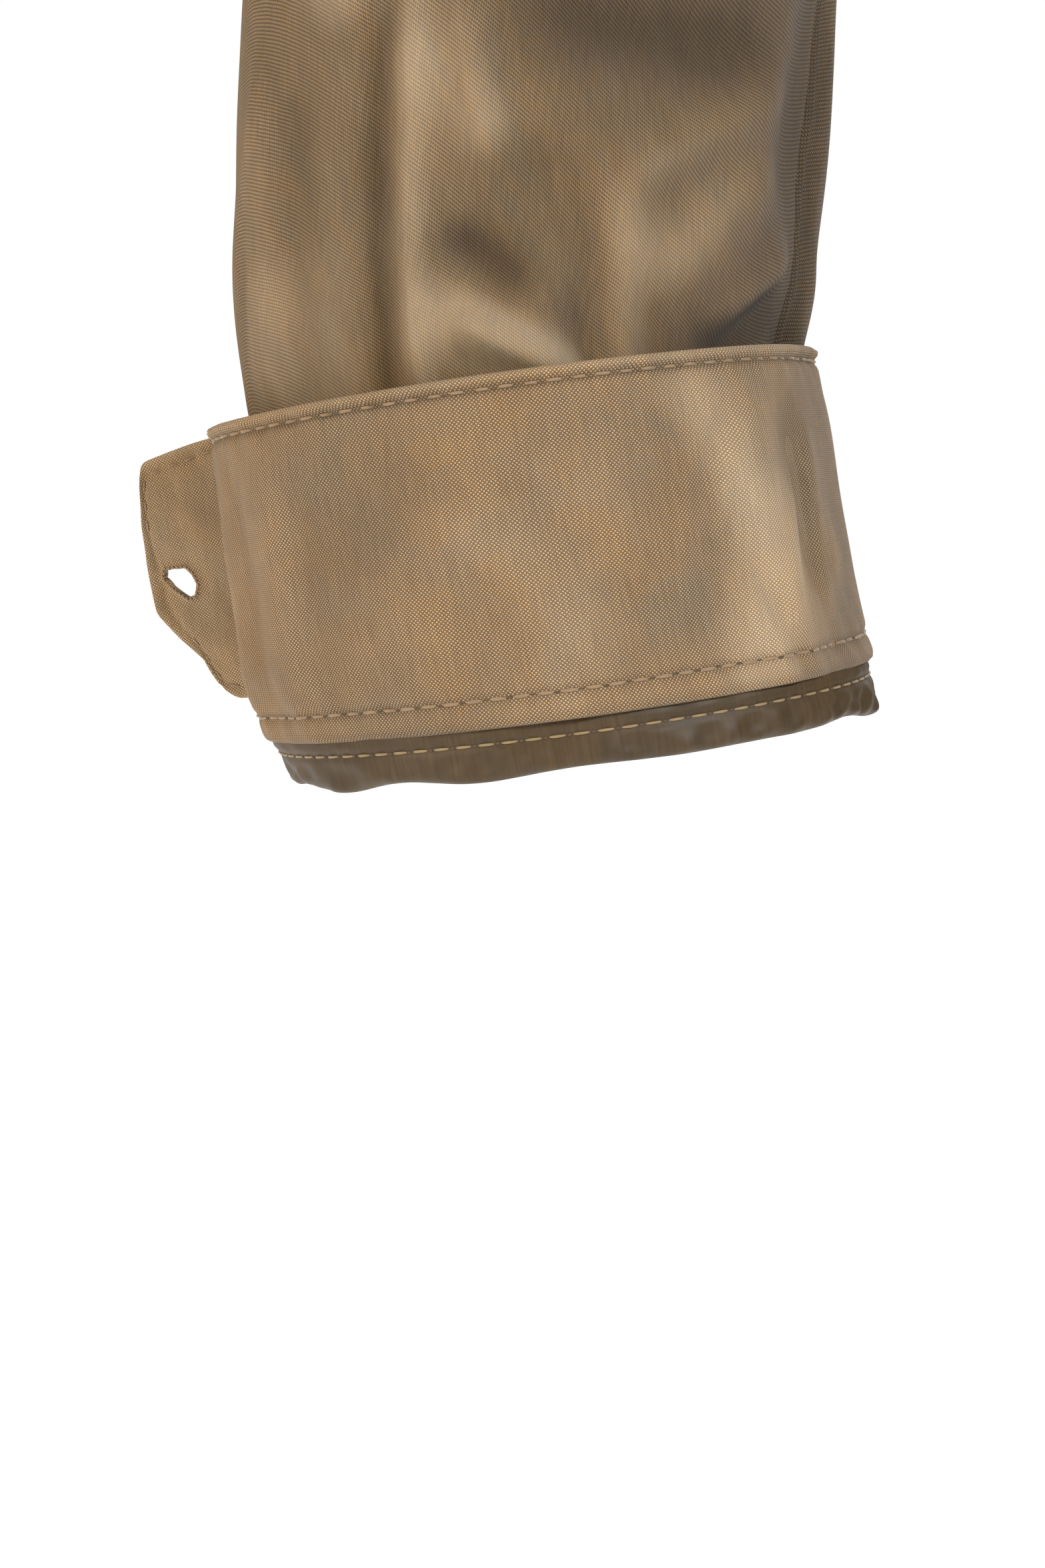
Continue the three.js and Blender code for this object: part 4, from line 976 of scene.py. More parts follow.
def build_cuff(name):
    """Turned-back cuff: one thick band with rolled edges and a slit at the vent, the satin strip that rolls out below
    it, and its three rows of stitches."""
    side = SIDES[name]
    profile = cuff_band_profile()
    degrees = np.linspace(VENT + 1.2, VENT + 358.8, 540)[None, :] + np.zeros((len(profile), 1))
    height, out = profile[:, 1:] + np.zeros_like(degrees), profile[:, :1] + np.zeros_like(degrees)
    facing = smooth(-1.2, -0.2, out)
    relief = cuff_relief(height, degrees, side)
    shaped = out + facing * relief
    points = ring_at(height, degrees, shaped, side)
    outward = ring_at(height, degrees, shaped + 1, side) - points
    outward *= np.where(out > inner_half(profile), 1, -1)[..., None]
    along = lengths_along(profile)
    uv = np.stack([degrees * 0.84, along[:, None] + np.zeros_like(degrees)], -1)
    uv = np.concatenate([uv, uv[:1] + np.array((0, along[-1] * 0.01))], 0)
    band = surface(f"{name}_cuff_band", points, uv, outward, made_of("cuff_canvas"), round_rows=True,
                   wear_and_shading=cuff_wear_and_shading(height, degrees, relief) * facing)
    close_ends(band)
    fitted(band, f"{name}_arm", f"{name}_turned_cuff")
    face = profile[:, 0] > -0.1
    declare_sheet(points[face])
    build_fold_strip(name)
    cuff_stitches(name)


def inner_half(profile):
    """The offset that divides a cuff's inner wall from its outer one."""
    return profile[:, 0].min() / 2


def close_ends(piece):
    """Fills the open ends of a slit band."""
    work = bmesh.new()
    work.from_mesh(piece.data)
    bmesh.ops.holes_fill(work, edges=work.edges[:], sides=0)
    work.to_mesh(piece.data)
    work.free()


def strip_profile():
    """(out, height) of the satin strip: from inside the cuff's lower edge down, round the fold and up the inside."""
    turn = np.linspace(0, -math.pi, 16)
    roll = np.stack([-1.8 + 1.35 * np.cos(turn), 1.5 + 1.5 * np.sin(turn)], -1)
    face = np.stack([np.interp(np.linspace(LINING_SHOW + 1.0, 1.7, 22), (1.7, LINING_SHOW - 1, LINING_SHOW + 1.0),
                               (-0.45, -0.6, -0.95)), np.linspace(LINING_SHOW + 1.0, 1.7, 22)], -1)
    return np.concatenate([face, roll, np.stack([np.full(8, -3.15), np.linspace(2.5, LINING_SHOW + 6, 8)], -1)])


def build_fold_strip(name):
    """The strip of lining that shows below the cuff: satin rolled over the fold, puckered where its thread pulls."""
    side = SIDES[name]
    profile = strip_profile()
    degrees = np.linspace(VENT, VENT + 360, 720, endpoint=False)[None, :] + np.zeros((len(profile), 1))
    height, out = profile[:, 1:] + np.zeros_like(degrees), profile[:, :1] + np.zeros_like(degrees)
    around = degrees * CUFF_DEGREE
    shown = smooth(-2.4, -0.6, out) * (1 - smooth(LINING_SHOW - 1.2, LINING_SHOW, height))
    loose = 0.8 + 0.4 * bell(degrees - 160, 15)
    away = smooth(0.2, 3.0, np.abs(height - LINING_ROW))
    waves = (np.sin(2 * math.pi * (around + 0.9 * height) / 11 + 2.2 * np.sin(around / 17))
             + 0.7 * np.sin(2 * math.pi * (around - 0.8 * height) / 6.1 + 1.7 * np.sin(around / 11))
             + 0.5 * np.sin(2 * math.pi * (around + 1.6 * height) / 23))
    shaped = out + shown * (0.3 * loose * away * waves + groove(height, LINING_ROW, 0.7, 0.35))
    drop = 0.7 * loose * ripples(around, around * 0, 61 + side, 26, count=5) * (1 - smooth(0.5, 4.5, height))
    points = ring_at(height + drop, degrees, shaped, side)
    outward = ring_at(height, degrees, out + 1, side) - ring_at(height, degrees, out, side)
    along = lengths_along(profile)
    wide = np.concatenate([around, around[:, :1] + 360 * CUFF_DEGREE], 1)
    uv = np.stack([wide, along[:, None] + np.zeros_like(wide)], -1)
    straight = np.where(height > 1.6, 1.0, 0.0)[..., None] * np.where(out > -1.8, 1, -1)[..., None]
    strip = surface(f"{name}_lining_fold", points, uv, outward * straight, made_of("lining"), round_columns=True)
    fitted(thicken(strip, 0.35), f"{name}_arm", f"{name}_cuff_fold_lining")
    declare_sheet(np.concatenate([points, points[:, :1]], 1))


def cuff_stitches(name):
    """Two tonal rows on the cuff's face and a golden row on the satin strip."""
    side = SIDES[name]
    degrees = np.linspace(VENT + 3, VENT + 357, 900)

    def line(height, lift):
        tall = np.full_like(degrees, height)
        return (ring_at(tall, degrees, lift(tall), side),
                ring_at(tall, degrees, 1.0, side) - ring_at(tall, degrees, 0.0, side))

    rows = [line(height, lambda tall: cuff_relief(tall, degrees, side)) for height in (CUFF_TOP_ROW, CUFF_LOW_ROW)]
    sewn(f"{name}_cuff_stitches", rows, f"{name}_arm", radius=0.3)
    sewn(f"{name}_golden_stitches", [line(LINING_ROW, lambda tall: np.full_like(tall, -0.8))], f"{name}_arm",
         "gold_thread", radius=0.21)


def rounded_loop(corners, count, softness):
    """A closed outline through corners: points at even steps along its straight sides, then smoothed by averaging
    each with its neighbours softness times."""
    closed = np.vstack([corners, corners[:1]])
    place = lengths_along(closed)
    at = np.linspace(0, place[-1], count, endpoint=False)
    loop = np.stack([np.interp(at, place, closed[:, k]) for k in (0, 1)], -1)
    for _ in range(softness):
        loop = (np.roll(loop, 1, 0) + 2 * loop + np.roll(loop, -1, 0)) / 4
    return loop


def tab_place(across, up, out, side):
    """A point of the tab from its own flat coordinates: across from its root, up, and out towards the front. The
    plane leans with the cuff and splays away from it."""
    lean = math.atan2(CUFF_TOP_X - CUFF_FOLD_X, CUFF_HEIGHT)
    turned = np.array(Euler((0, lean, 0)).to_matrix())
    splayed = np.array(Euler((0, 0, TAB_SPLAY)).to_matrix())
    root = cuff_points(TAB_LOW / CUFF_HEIGHT, VENT)
    flat = np.stack([across, -out, up], -1)
    placed = flat @ turned.T @ splayed.T + root + np.array((0, TAB_STAND_OFF + 0.7, 0))
    return mirrored(placed, side)


TAB_OUTLINE = ((0, 1), (0, 45.6), (11, 48.4), (22, 49.4), (32, 48.4), (38.6, 47.4), (39.4, 45), (40.6, 36), (41.4, 26),
               (41.3, 19.4), (38, 14.2), (34.2, 9.6), (31.4, 3), (29, 1), (14, 0.6))
BUTTONHOLE = ((32.6, 23.4), (33.4, 21.4), (34.8, 21.2), (38.6, 25.6), (38.0, 27.2), (34.2, 26.8), (33.2, 25.4))


def build_tab(name):
    """Cuff tab: rings of points that run from the pulled-open buttonhole out to the tab's outline, as one soft sheet
    with a raised edge, and a whipped thread rim round the hole."""
    side = SIDES[name]
    outline, hole = rounded_loop(np.array(TAB_OUTLINE), 260, 3), rounded_loop(np.array(BUTTONHOLE), 120, 5)
    centre = hole.mean(0)
    angle = np.linspace(-math.pi, math.pi, 260, endpoint=False)
    edge_in, edge_out = (radial(loop, centre, angle) for loop in (hole, outline))
    rings = np.concatenate([np.linspace(0, 0.2, 12)[:-1], np.linspace(0.2, 0.86, 20)[:-1],
                            np.linspace(0.86, 1, 14)])[:, None]
    flat = centre + (edge_in[None] * (1 - rings[..., None]) + edge_out[None] * rings[..., None])
    across, up = flat[..., 0], flat[..., 1]
    reach = np.linalg.norm(edge_out - edge_in, axis=1)[None]
    from_edge, from_hole = (1 - rings) * reach, rings * reach
    edge = 0.25 * bell(from_edge, 1.2) - 0.18 * bell(from_edge - 2.6, 0.9)
    rim = 0.4 * bell(from_hole, 0.9) - 0.4 * bell(from_hole, 3.6)
    bend = 1.2 * np.sin(across / 41 * math.pi) + 0.9 * np.sin(up / 50 * math.pi)
    rise = edge + rim + bend + 0.6 * ripples(across, up, 71, 24, count=4) + 0.15 * ripples(across, up, 73, 8)
    points = tab_place(across, up, rise, side)
    towards = tab_place(across, up, rise + 1, side) - points
    # Painted light: the whole tab lighter by 0.45 against the shadow that the cuff casts on it, its edge lighter still,
    # and painted shade in the groove by its stitch row.
    wear_and_shading = 0.45 + 0.4 * bell(from_edge, 0.9) - 0.1 * bell(from_edge - 2.6, 0.7)
    tab = surface(f"{name}_tab", points, np.concatenate([flat, flat[:, :1]], 1), towards, made_of("cuff_canvas"),
                  round_columns=True, wear_and_shading=wear_and_shading)
    fitted(thicken(tab, 1.3), f"{name}_tab", f"{name}_cuff_tab")

    def ring(loop, lift):
        return (tab_place(loop[:, 0], loop[:, 1], lift, side), np.broadcast_to(towards[0, 0], (len(loop), 3)))

    near_hole = centre + edge_in + (edge_out - edge_in) / reach[0][:, None] * 0.35
    sewn(f"{name}_buttonhole_stitches", [ring(near_hole, rise[1])], f"{name}_tab", pitch=0.8, radius=0.24, closed=True,
         holes=False)
    inset = centre + edge_out - (edge_out - edge_in) / reach[0][:, None] * 2.6
    lift = np.array([np.interp(reach[0, k] - 2.6, from_hole[:, k], rise[:, k]) for k in range(len(angle))])
    # The row stops short of the buttonhole: it starts past the narrow part and ends before it.
    narrow = reach[0] < 10
    turn = -(int(np.flatnonzero(narrow)[-1]) + 1)
    kept = np.roll(~narrow, turn)
    sewn(f"{name}_tab_stitches", [ring(np.roll(inset, turn, 0)[kept], np.roll(lift, turn)[kept])], f"{name}_tab",
         radius=0.22, holes=False)


def radial(loop, centre, angle):
    """Reach of a closed outline from its centre at each angle, as offsets from that centre."""
    offset = loop - centre
    turn = np.arctan2(offset[:, 1], offset[:, 0])
    order = np.argsort(turn, kind="stable")
    turn, offset = turn[order], offset[order]
    turn = np.concatenate([turn[-1:] - 2 * math.pi, turn, turn[:1] + 2 * math.pi])
    offset = np.vstack([offset[-1:], offset, offset[:1]])
    return np.stack([np.interp(angle, turn, offset[:, k]) for k in (0, 1)], -1)


def revolved(name, profile, centre, axis, material):
    """A solid of revolution: a profile of (radius, height) pairs from axis to axis, turned about a line."""
    sides = 40
    profile = np.asarray(profile, float)
    axis = unit(np.asarray(axis, float))
    u = unit(np.cross(axis, (0.0, 0.3, 1.0)))
    v = np.cross(axis, u)
    turn = np.linspace(0, 2 * math.pi, sides, endpoint=False)
    ring = np.cos(turn)[:, None] * u + np.sin(turn)[:, None] * v
    points = (np.asarray(centre) + profile[:, None, :1] * ring[None] + profile[:, None, 1:] * axis)
    slope = np.gradient(profile, axis=0)
    outward = slope[:, None, 1:] * ring[None] - slope[:, None, :1] * axis
    uv = np.zeros((len(profile), sides + 1, 2))
    made = surface(name, points, uv, outward, material, round_columns=True)
    work = bmesh.new()
    work.from_mesh(made.data)
    bmesh.ops.remove_doubles(work, verts=work.verts[:], dist=1e-6)
    work.to_mesh(made.data)
    work.free()
    return made


# ---- Buttons, pockets, collar, loop and zip ----
def build_button(name):
    """Cuff button: a dished horn disc with a rounded rim and four sunken holes, sewn on with a cross of thread."""
    side = SIDES[name]
    a = math.radians(BUTTON_ANGLE)
    out = mirrored(unit(np.array((math.cos(a) / CUFF_HALF_WIDTH, -math.sin(a) / CUFF_HALF_DEPTH, 0.0))), side)
    at = mirrored(cuff_points(BUTTON_UP, BUTTON_ANGLE), side) + out * 0.5
    across = unit(np.cross(out, (0.0, 0.0, 1.0)))
    up = np.cross(across, out)
    rim = ((5.6, 2.3), (6.2, 2.6), (6.7, 2.5), (BUTTON_RADIUS, 1.9), (6.9, 1.1), (6.2, 0.4), (5, 0.05), (0, 0))
    profile = np.vstack([np.stack([np.linspace(0, 5.0, 34), np.full(34, BUTTON_THICK - 0.6)], -1), rim])
    turn = np.linspace(0, 2 * math.pi, 96, endpoint=False)[None, :]
    r, high_up = profile[:, :1] + 0 * turn, profile[:, 1:] + 0 * turn
    x, y = r * np.cos(turn), r * np.sin(turn)
    for hx, hy in ((1.5, 1.5), (-1.5, 1.5), (-1.5, -1.5), (1.5, -1.5)):
        inside = 1 - smooth(0.65, 0.95, np.hypot(x - hx, y - hy))
        high_up = high_up - 1.5 * inside * (high_up > 1.9)
    points = at + x[..., None] * across + y[..., None] * up + high_up[..., None] * out
    outward = np.where((np.arange(len(profile)) < 34)[:, None, None], out, points - at - out * 1.3)
    disc = surface(f"{name}_horn_button", points, np.zeros((len(profile), 97, 2)), outward, made_of("horn"),
                   round_columns=True)
    fitted(disc, f"{name}_arm", f"{name}_cuff_button")
    top = at + out * (BUTTON_THICK - 0.5)
    rows = [(np.stack([top + (across * k + up * m) * 1.5, top - (across * k + up * m) * 1.5]), np.stack([out, out]))
            for k, m in ((1, 1), (1, -1))]
    sewn(f"{name}_button_thread", rows, f"{name}_arm", pitch=4.0, radius=0.3, holes=False)


def patch(side, start, end, bottom, top, rows, columns, round_low=0.0):
    """A grid over a front between two places across and two heights, its lower corners rounded by raising the edge
    by round_low times |2u - 1|^8. Returns its points, normals, and the distances from its sides, bottom and top."""
    u, v = np.linspace(0, 1, columns)[None, :], np.linspace(0, 1, rows)[:, None]
    x = start + (end - start) * u + 0 * v
    low_edge = bottom + round_low * np.abs(2 * u - 1) ** 8
    z = low_edge + (top - low_edge) * v
    points = mirrored(body_point(-1, x, z), side)
    normals = normals_of(points, from_spine(points))
    return points, normals, np.minimum(x - start, end - x), z - low_edge, top - z


def build_pockets():
    """Patch pockets with a hem along the top, and flaps with rounded corners that stand off them, each closed with a
    domed brass snap. The edges are rolled down and pulled in along their stitches."""
    for name, (side, start, end, top, bottom, flap_top, flap_bottom) in POCKETS.items():
        points, normals, aside, above, below = patch(side, start, end, bottom, top, 120, 90, 7.0)
        edge = np.minimum(aside, above)
        out = (POCKET_OUT - 0.9 * bell(edge, 0.9) + groove(edge, 2.2, 0.8, 0.35)
               + groove(edge, 8.5, 0.8, 0.25)
               + groove(below, 22, 0.9, 0.3) + 0.7 * smooth(4, 26, edge) * (1 - smooth(60, 20, below))
               + 0.3 * smooth(3, 12, edge) * ripples(points[..., 0], points[..., 2], 83 + side, 26))
        quiet = panel_height(points, side, -1)
        shown = points + normals * (out + quiet)[..., None]
        # Lighter edges, painted shade in the grooves of the stitch rows, and painted highlight and shade that follow
        # the cloth's height.
        wear_and_shading = (0.25 * bell(edge, 0.8) + groove(edge, 2.2, 0.6, 0.35) + groove(edge, 8.5, 0.6, 0.25)
                + 0.1 * (out - 2.4))
        cloth_patch(f"{name}_patch_pocket", shown, points, normals, wear_and_shading, "body", f"{name}_pocket")
        rows = [inset_row(shown, normals, d) for d in (2.2, 8.5)]
        rows.append(row_on(shown, normals, 1 - 22 / (top - bottom)))
        sewn(f"{name}_pocket_stitches", rows, "body", radius=0.3)
        points, normals, aside, above, below = patch(side, start - 0.5, end + 0.5, flap_bottom, flap_top, 60, 90, 7.0)
        edge = np.minimum(aside, above)
        out = (FLAP_OUT - 1.6 * bell(below, 4.5) - 0.8 * bell(edge, 0.9)
               + groove(edge, 2.2, 0.8, 0.35) + groove(below, 7, 0.9, 0.3) + 0.5 * smooth(0, 30, below)
               + 0.45 * smooth(3, 12, below) * ripples(points[..., 0], points[..., 2], 91 + side, 30))
        shown = points + normals * out[..., None]
        # Lighter edges, painted shade in the grooves of the stitch rows, and painted highlight and shade that follow
        # the cloth's height.
        wear_and_shading = (0.28 * bell(edge, 0.8) + groove(edge, 2.2, 0.6, 0.35) + groove(below, 7, 0.7, 0.3)
                + 0.05 * (out - 5))
        cloth_patch(f"{name}_flap", shown, points, normals, wear_and_shading, f"{name}_flap", f"{name}_pocket_flap")
        rows = [inset_row(shown, normals, 2.2), row_on(shown, normals, 1 - 7 / (flap_top - flap_bottom))]
        sewn(f"{name}_flap_stitches", rows, f"{name}_flap", radius=0.3)
        k = len(points[0]) // 2
        j = int(round((13 / (flap_top - flap_bottom)) * (len(points) - 1)))
        cap = ((0, 2.0), (3.6, 1.95), (4.6, 1.55), (5.3, 1.5), (6.2, 1.9), (7.0, 1.6), (7.4, 0.9), (7.5, 0.2),
               (7.2, -0.2), (0, -0.2))
        foot = shown[j, k] + normals[j, k] * 0.15
        snap = revolved(f"{name}_domed_snap", cap, foot, normals[j, k], made_of("brass"))
        fitted(snap, f"{name}_flap", f"{name}_pocket_snap_cap")


def inset_row(points, normals, inset):
    """A line a fixed distance in from both sides and the bottom of a patch, down one side and up the other."""
    across, up = walked(points, 1)[:, -1].mean(), walked(points, 0)[-1].mean()
    rows, columns = points.shape[:2]
    i = np.clip(inset / across * (columns - 1), 1, columns - 2)
    j = np.clip(inset / up * (rows - 1), 1, rows - 2)
    path = np.vstack([np.stack([np.linspace(rows - 1, j, 80), np.full(80, i)], -1),
                      np.stack([np.full(80, j), np.linspace(i, columns - 1 - i, 80)], -1),
                      np.stack([np.linspace(j, rows - 1, 80), np.full(80, columns - 1 - i)], -1)])
    a, b = np.floor(path).astype(int).T
    a, b = np.minimum(a, rows - 2), np.minimum(b, columns - 2)
    fa, fb = (path[:, 0] - a)[:, None], (path[:, 1] - b)[:, None]

    def mixed(grid):
        return ((grid[a, b] * (1 - fb) + grid[a, b + 1] * fb) * (1 - fa)
                + (grid[a + 1, b] * (1 - fb) + grid[a + 1, b + 1] * fb) * fa)

    return mixed(points), mixed(normals)


def cloth_patch(name, shown, flat, normals, wear_and_shading, body, replaced):
    """One patch of canvas riding on a body in place of a CAD node."""
    piece = surface(name, shown, cloth_uv(flat), normals, made_of("body_canvas"), wear_and_shading=wear_and_shading)
    fitted(thicken(piece, CLOTH_LAYER), body, replaced)
    declare_sheet(flat)


def neck_seam(degrees, grow=0.0, fall=0.0):
    """The neck seam as an open ring: 0 at the front, 90 on the left, 180 at the back."""
    degrees = np.asarray(degrees, float)
    a = np.radians(degrees)
    x = (NECK_HALF + grow) * np.sin(a)
    front = np.cos(a) > 0
    drop = np.where(front, NECK_FRONT_DROP, NECK_BACK_DROP) + fall
    z = np.minimum(-drop * np.abs(np.cos(a)), shoulder_line(x))
    return np.where(front[..., None], body_point(-1, x, z), body_point(1, x, z))


def collar_edge(degrees):
    """Top of the collar's stand: the neck seam drawn in, and raised by the stand's height."""
    a = np.radians(degrees)
    lifted = np.stack([np.zeros_like(a), 4 * np.cos(a), np.full_like(a, COLLAR_STAND)], -1)
    return neck_seam(degrees) * (1 - COLLAR_LEAN / NECK_HALF, 0.93, 1) + lifted


def flat_out(points, size):
    """A level step of some millimetres away from the neck's middle."""
    step = points * (1.0, 1.0, 0.0) + (0.0, 10.0, 0.0)
    return unit(step) * size


SOFTENINGS = 70


def softened(points):
    """A grid of points with its rows rounded off: each column but the first and last is averaged with its
    neighbours, over and over, so that cloth doesn't turn a sharp corner over the shoulder."""
    points = points.copy()
    for _ in range(SOFTENINGS):
        points[:, 1:-1] = (points[:, :-2] + 2 * points[:, 1:-1] + points[:, 2:]) / 4
    return points


def build_collar():
    """Collar: a stand round the neck and a leaf folded over it, whose height swells as an arch between its fold and its
    free edge. A row of stitches follows the leaf's edge."""
    degrees = np.linspace(COLLAR_START, 360 - COLLAR_START, 320)[None, :]
    t = np.linspace(0, 1, 26)[:, None, None]
    seam = neck_seam(degrees)
    foot = seam * (0.975, 0.97, 1) - (0, 0, 2.5)
    stand = softened(foot * (1 - t) + collar_edge(degrees) * t)
    outward = stand * (1.0, 1.0, 0.0) + (0.0, 10.0, 0.0)
    normals = normals_of(stand, outward)
    uneven = 0.3 * ripples(degrees + 0 * t[..., 0], t[..., 0] * 30, 5, 30)
    piece = surface("collar_stand_cloth", stand + normals * uneven[..., None], cloth_uv(stand), normals,
                    made_of("body_canvas"), wear_and_shading=np.zeros(stand.shape[:2]))
    fitted(thicken(piece, 1.6), "body", "collar_stand")
    declare_sheet(stand)
    t = np.linspace(0, 1, 70)[:, None, None]
    front = np.maximum(0, np.cos(np.radians(degrees))) ** 2
    reach = COLLAR_BACK_FALL + (COLLAR_FRONT_FALL - COLLAR_BACK_FALL) * front
    top = collar_edge(degrees) + flat_out(seam, 2.4) + (0, 0, 1)
    low_edge = neck_seam(180 + (degrees - 180) * (1 - COLLAR_SPREAD / 180), reach * 0.95, reach * 0.8)
    low_edge = low_edge + flat_out(low_edge, 6) + (0, 0, 5)
    leaf = top * (1 - t) + low_edge * t
    leaf[..., 2] += COLLAR_ARCH * np.sin(math.pi * t[..., 0])
    leaf = softened(leaf)
    normals = normals_of(leaf, leaf * (1.0, 1.0, 0.0) + (0, 0, 60.0))
    fall = (1 - t[..., 0]) * np.linalg.norm(leaf[:1] - leaf[-1:], axis=-1)
    end = np.minimum(degrees - COLLAR_START, 360 - COLLAR_START - degrees) * 1.9 + 0 * fall
    edge = np.minimum(fall, end)
    out = (1.6 - 0.9 * bell(edge, 1.0) + groove(edge, 6, 0.9, 0.35) + smooth(3, 14, edge) * 0.6
           * ripples(degrees * 1.6 + 0 * fall, fall, 23, 44) + 0.25 * ripples(degrees * 1.6 + 0 * fall, fall, 29, 15))
    shown = leaf + normals * out[..., None]
    # Lighter edges, painted shade in the groove of the stitch row, and painted highlight and shade that follow the
    # cloth's height.
    wear_and_shading = 0.3 * bell(edge, 0.9) + groove(edge, 6, 0.7, 0.35) + 0.12 * (out - 1.6)
    piece = surface("collar_leaf_cloth", shown, cloth_uv(leaf), normals, made_of("body_canvas"), wear_and_shading=wear_and_shading)
    fitted(thicken(piece, 1.5), "body", "collar_leaf")
    declare_sheet(leaf)
    sewn("collar_stitches", [inset_row(shown[::-1], normals[::-1], 6.0)], "body", radius=0.32)


def build_loop():
    """Hanging loop inside the neck: a narrow band along a curve, sewn down at both ends."""
    foot = neck_seam(np.array(180.0))
    knots = np.array(((-34, 0), (-25, 0.6), (-18, 8.8), (0, 11), (18, 8.8), (25, 0.6), (34, 0)), float)
    at = np.linspace(0, 6, 90)
    line = np.stack([np.interp(at, np.arange(7), knots[:, k]) for k in (0, 1)], -1)
    for _ in range(60):
        line[1:-1] = (line[:-2] + 2 * line[1:-1] + line[2:]) / 4
    wide = np.linspace(-2.5, 2.5, 11)
    x, y = line[None, :, 0] + 0 * wide[:, None], line[None, :, 1] + 0.35 * (wide[:, None] / 2.5) ** 2
    points = np.stack([x, foot[1] - 11 - y + 0.7, foot[2] + 12 + wide[:, None] + 0 * x], -1)
    outward = np.zeros_like(points) - (0, 1.0, 0)
    band = surface("hanging_loop_band", points, cloth_uv(points), outward, made_of("body_canvas"),
                   wear_and_shading=np.full(points.shape[:2], 0.1))
    fitted(thicken(band, 1.3), "body", "hanging_loop")
    rows = [(points[k], outward[k]) for k in (1, 9)]
    sewn("hanging_loop_stitches", rows, "body", pitch=2.4, radius=0.2, holes=False)


def zip_place(x, depth, down):
    """A point of the zip from across its middle, depth behind the front edge, and distance down from its top."""
    x, depth, down = np.broadcast_arrays(*(np.asarray(k, float) for k in (x, depth, down)))
    return np.stack([x, -FRONT_TOP_DEPTH + depth * math.cos(ZIP_TILT) - down * math.sin(ZIP_TILT),
                     FRONT_TOP - depth * math.sin(ZIP_TILT) - down * math.cos(ZIP_TILT)], -1)


def build_zip():
    """Front zip: two woven tapes and two rows of brass teeth, each tooth a block that tapers to its head, the two
    rows half a pitch apart. Its slider, pull and stops keep their CAD shapes."""
    out = zip_place(0, -1, 0) - zip_place(0, 0, 0)
    down_way = zip_place(0, 0, 1) - zip_place(0, 0, 0)
    pitch = 2.1
    for name, side in SIDES.items():
        down = np.linspace(2, ZIP_LONG + 5.5, 400)[:, None]
        inner = 0.75 - 0.73 * smooth(ZIP_LONG - 16, ZIP_LONG - 10, down)
        x = inner + (20.6 - inner) * np.linspace(0, 1, 40)[None, :]
        ribs = 0.18 * bell(x - 6.5, 0.8) + 0.05 * np.sin(x * 5) + 0 * down
        points = zip_place(side * x, ZIP_DEPTH - 0.4 - ribs, down)
        tape = surface(f"{name}_woven_tape", points, cloth_uv(points), np.broadcast_to(out, points.shape),
                       made_of("tape"), wear_and_shading=np.zeros(points.shape[:2]))
        fitted(thicken(tape, 0.7), "body", f"{name}_zip_tape")
        declare_sheet(points)
        half = np.array((1.2, 1.0, 0.7)), np.array((0.84, 0.72, 0.5))
        shape = np.array([(a, sy * half[0][k], sz * half[1][k]) for k, a in enumerate((3.1, 0.9, -0.6))
                          for sy, sz in ((-1, -1), (1, -1), (1, 1), (-1, 1))])
        faces, _ = grid_faces(3, 4, round_columns=True)
        faces = np.vstack([faces, [[0, 3, 2, 1], [8, 9, 10, 11]]])
        count = int((ZIP_LONG - 16 - 1) / pitch)
        places = 6.8 + (np.arange(count) + (0.5 if side > 0 else 0)) * pitch
        middle = zip_place(0, ZIP_DEPTH, places)
        axes = [np.broadcast_to(k, middle.shape) for k in (np.array((float(side), 0, 0)), out, down_way)]
        teeth = copies(f"{name}_teeth", shape, faces, middle, axes, made_of("brass"))
        fitted(teeth, "body", f"{name}_zip_teeth")


def finish_cad_nodes():
    """Gives the CAD nodes that stay visible their real finish: aged brass."""
    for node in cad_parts.values():
        if not node.hide_render:
            node.data.materials.clear()
            node.data.materials.append(made_of("brass"))


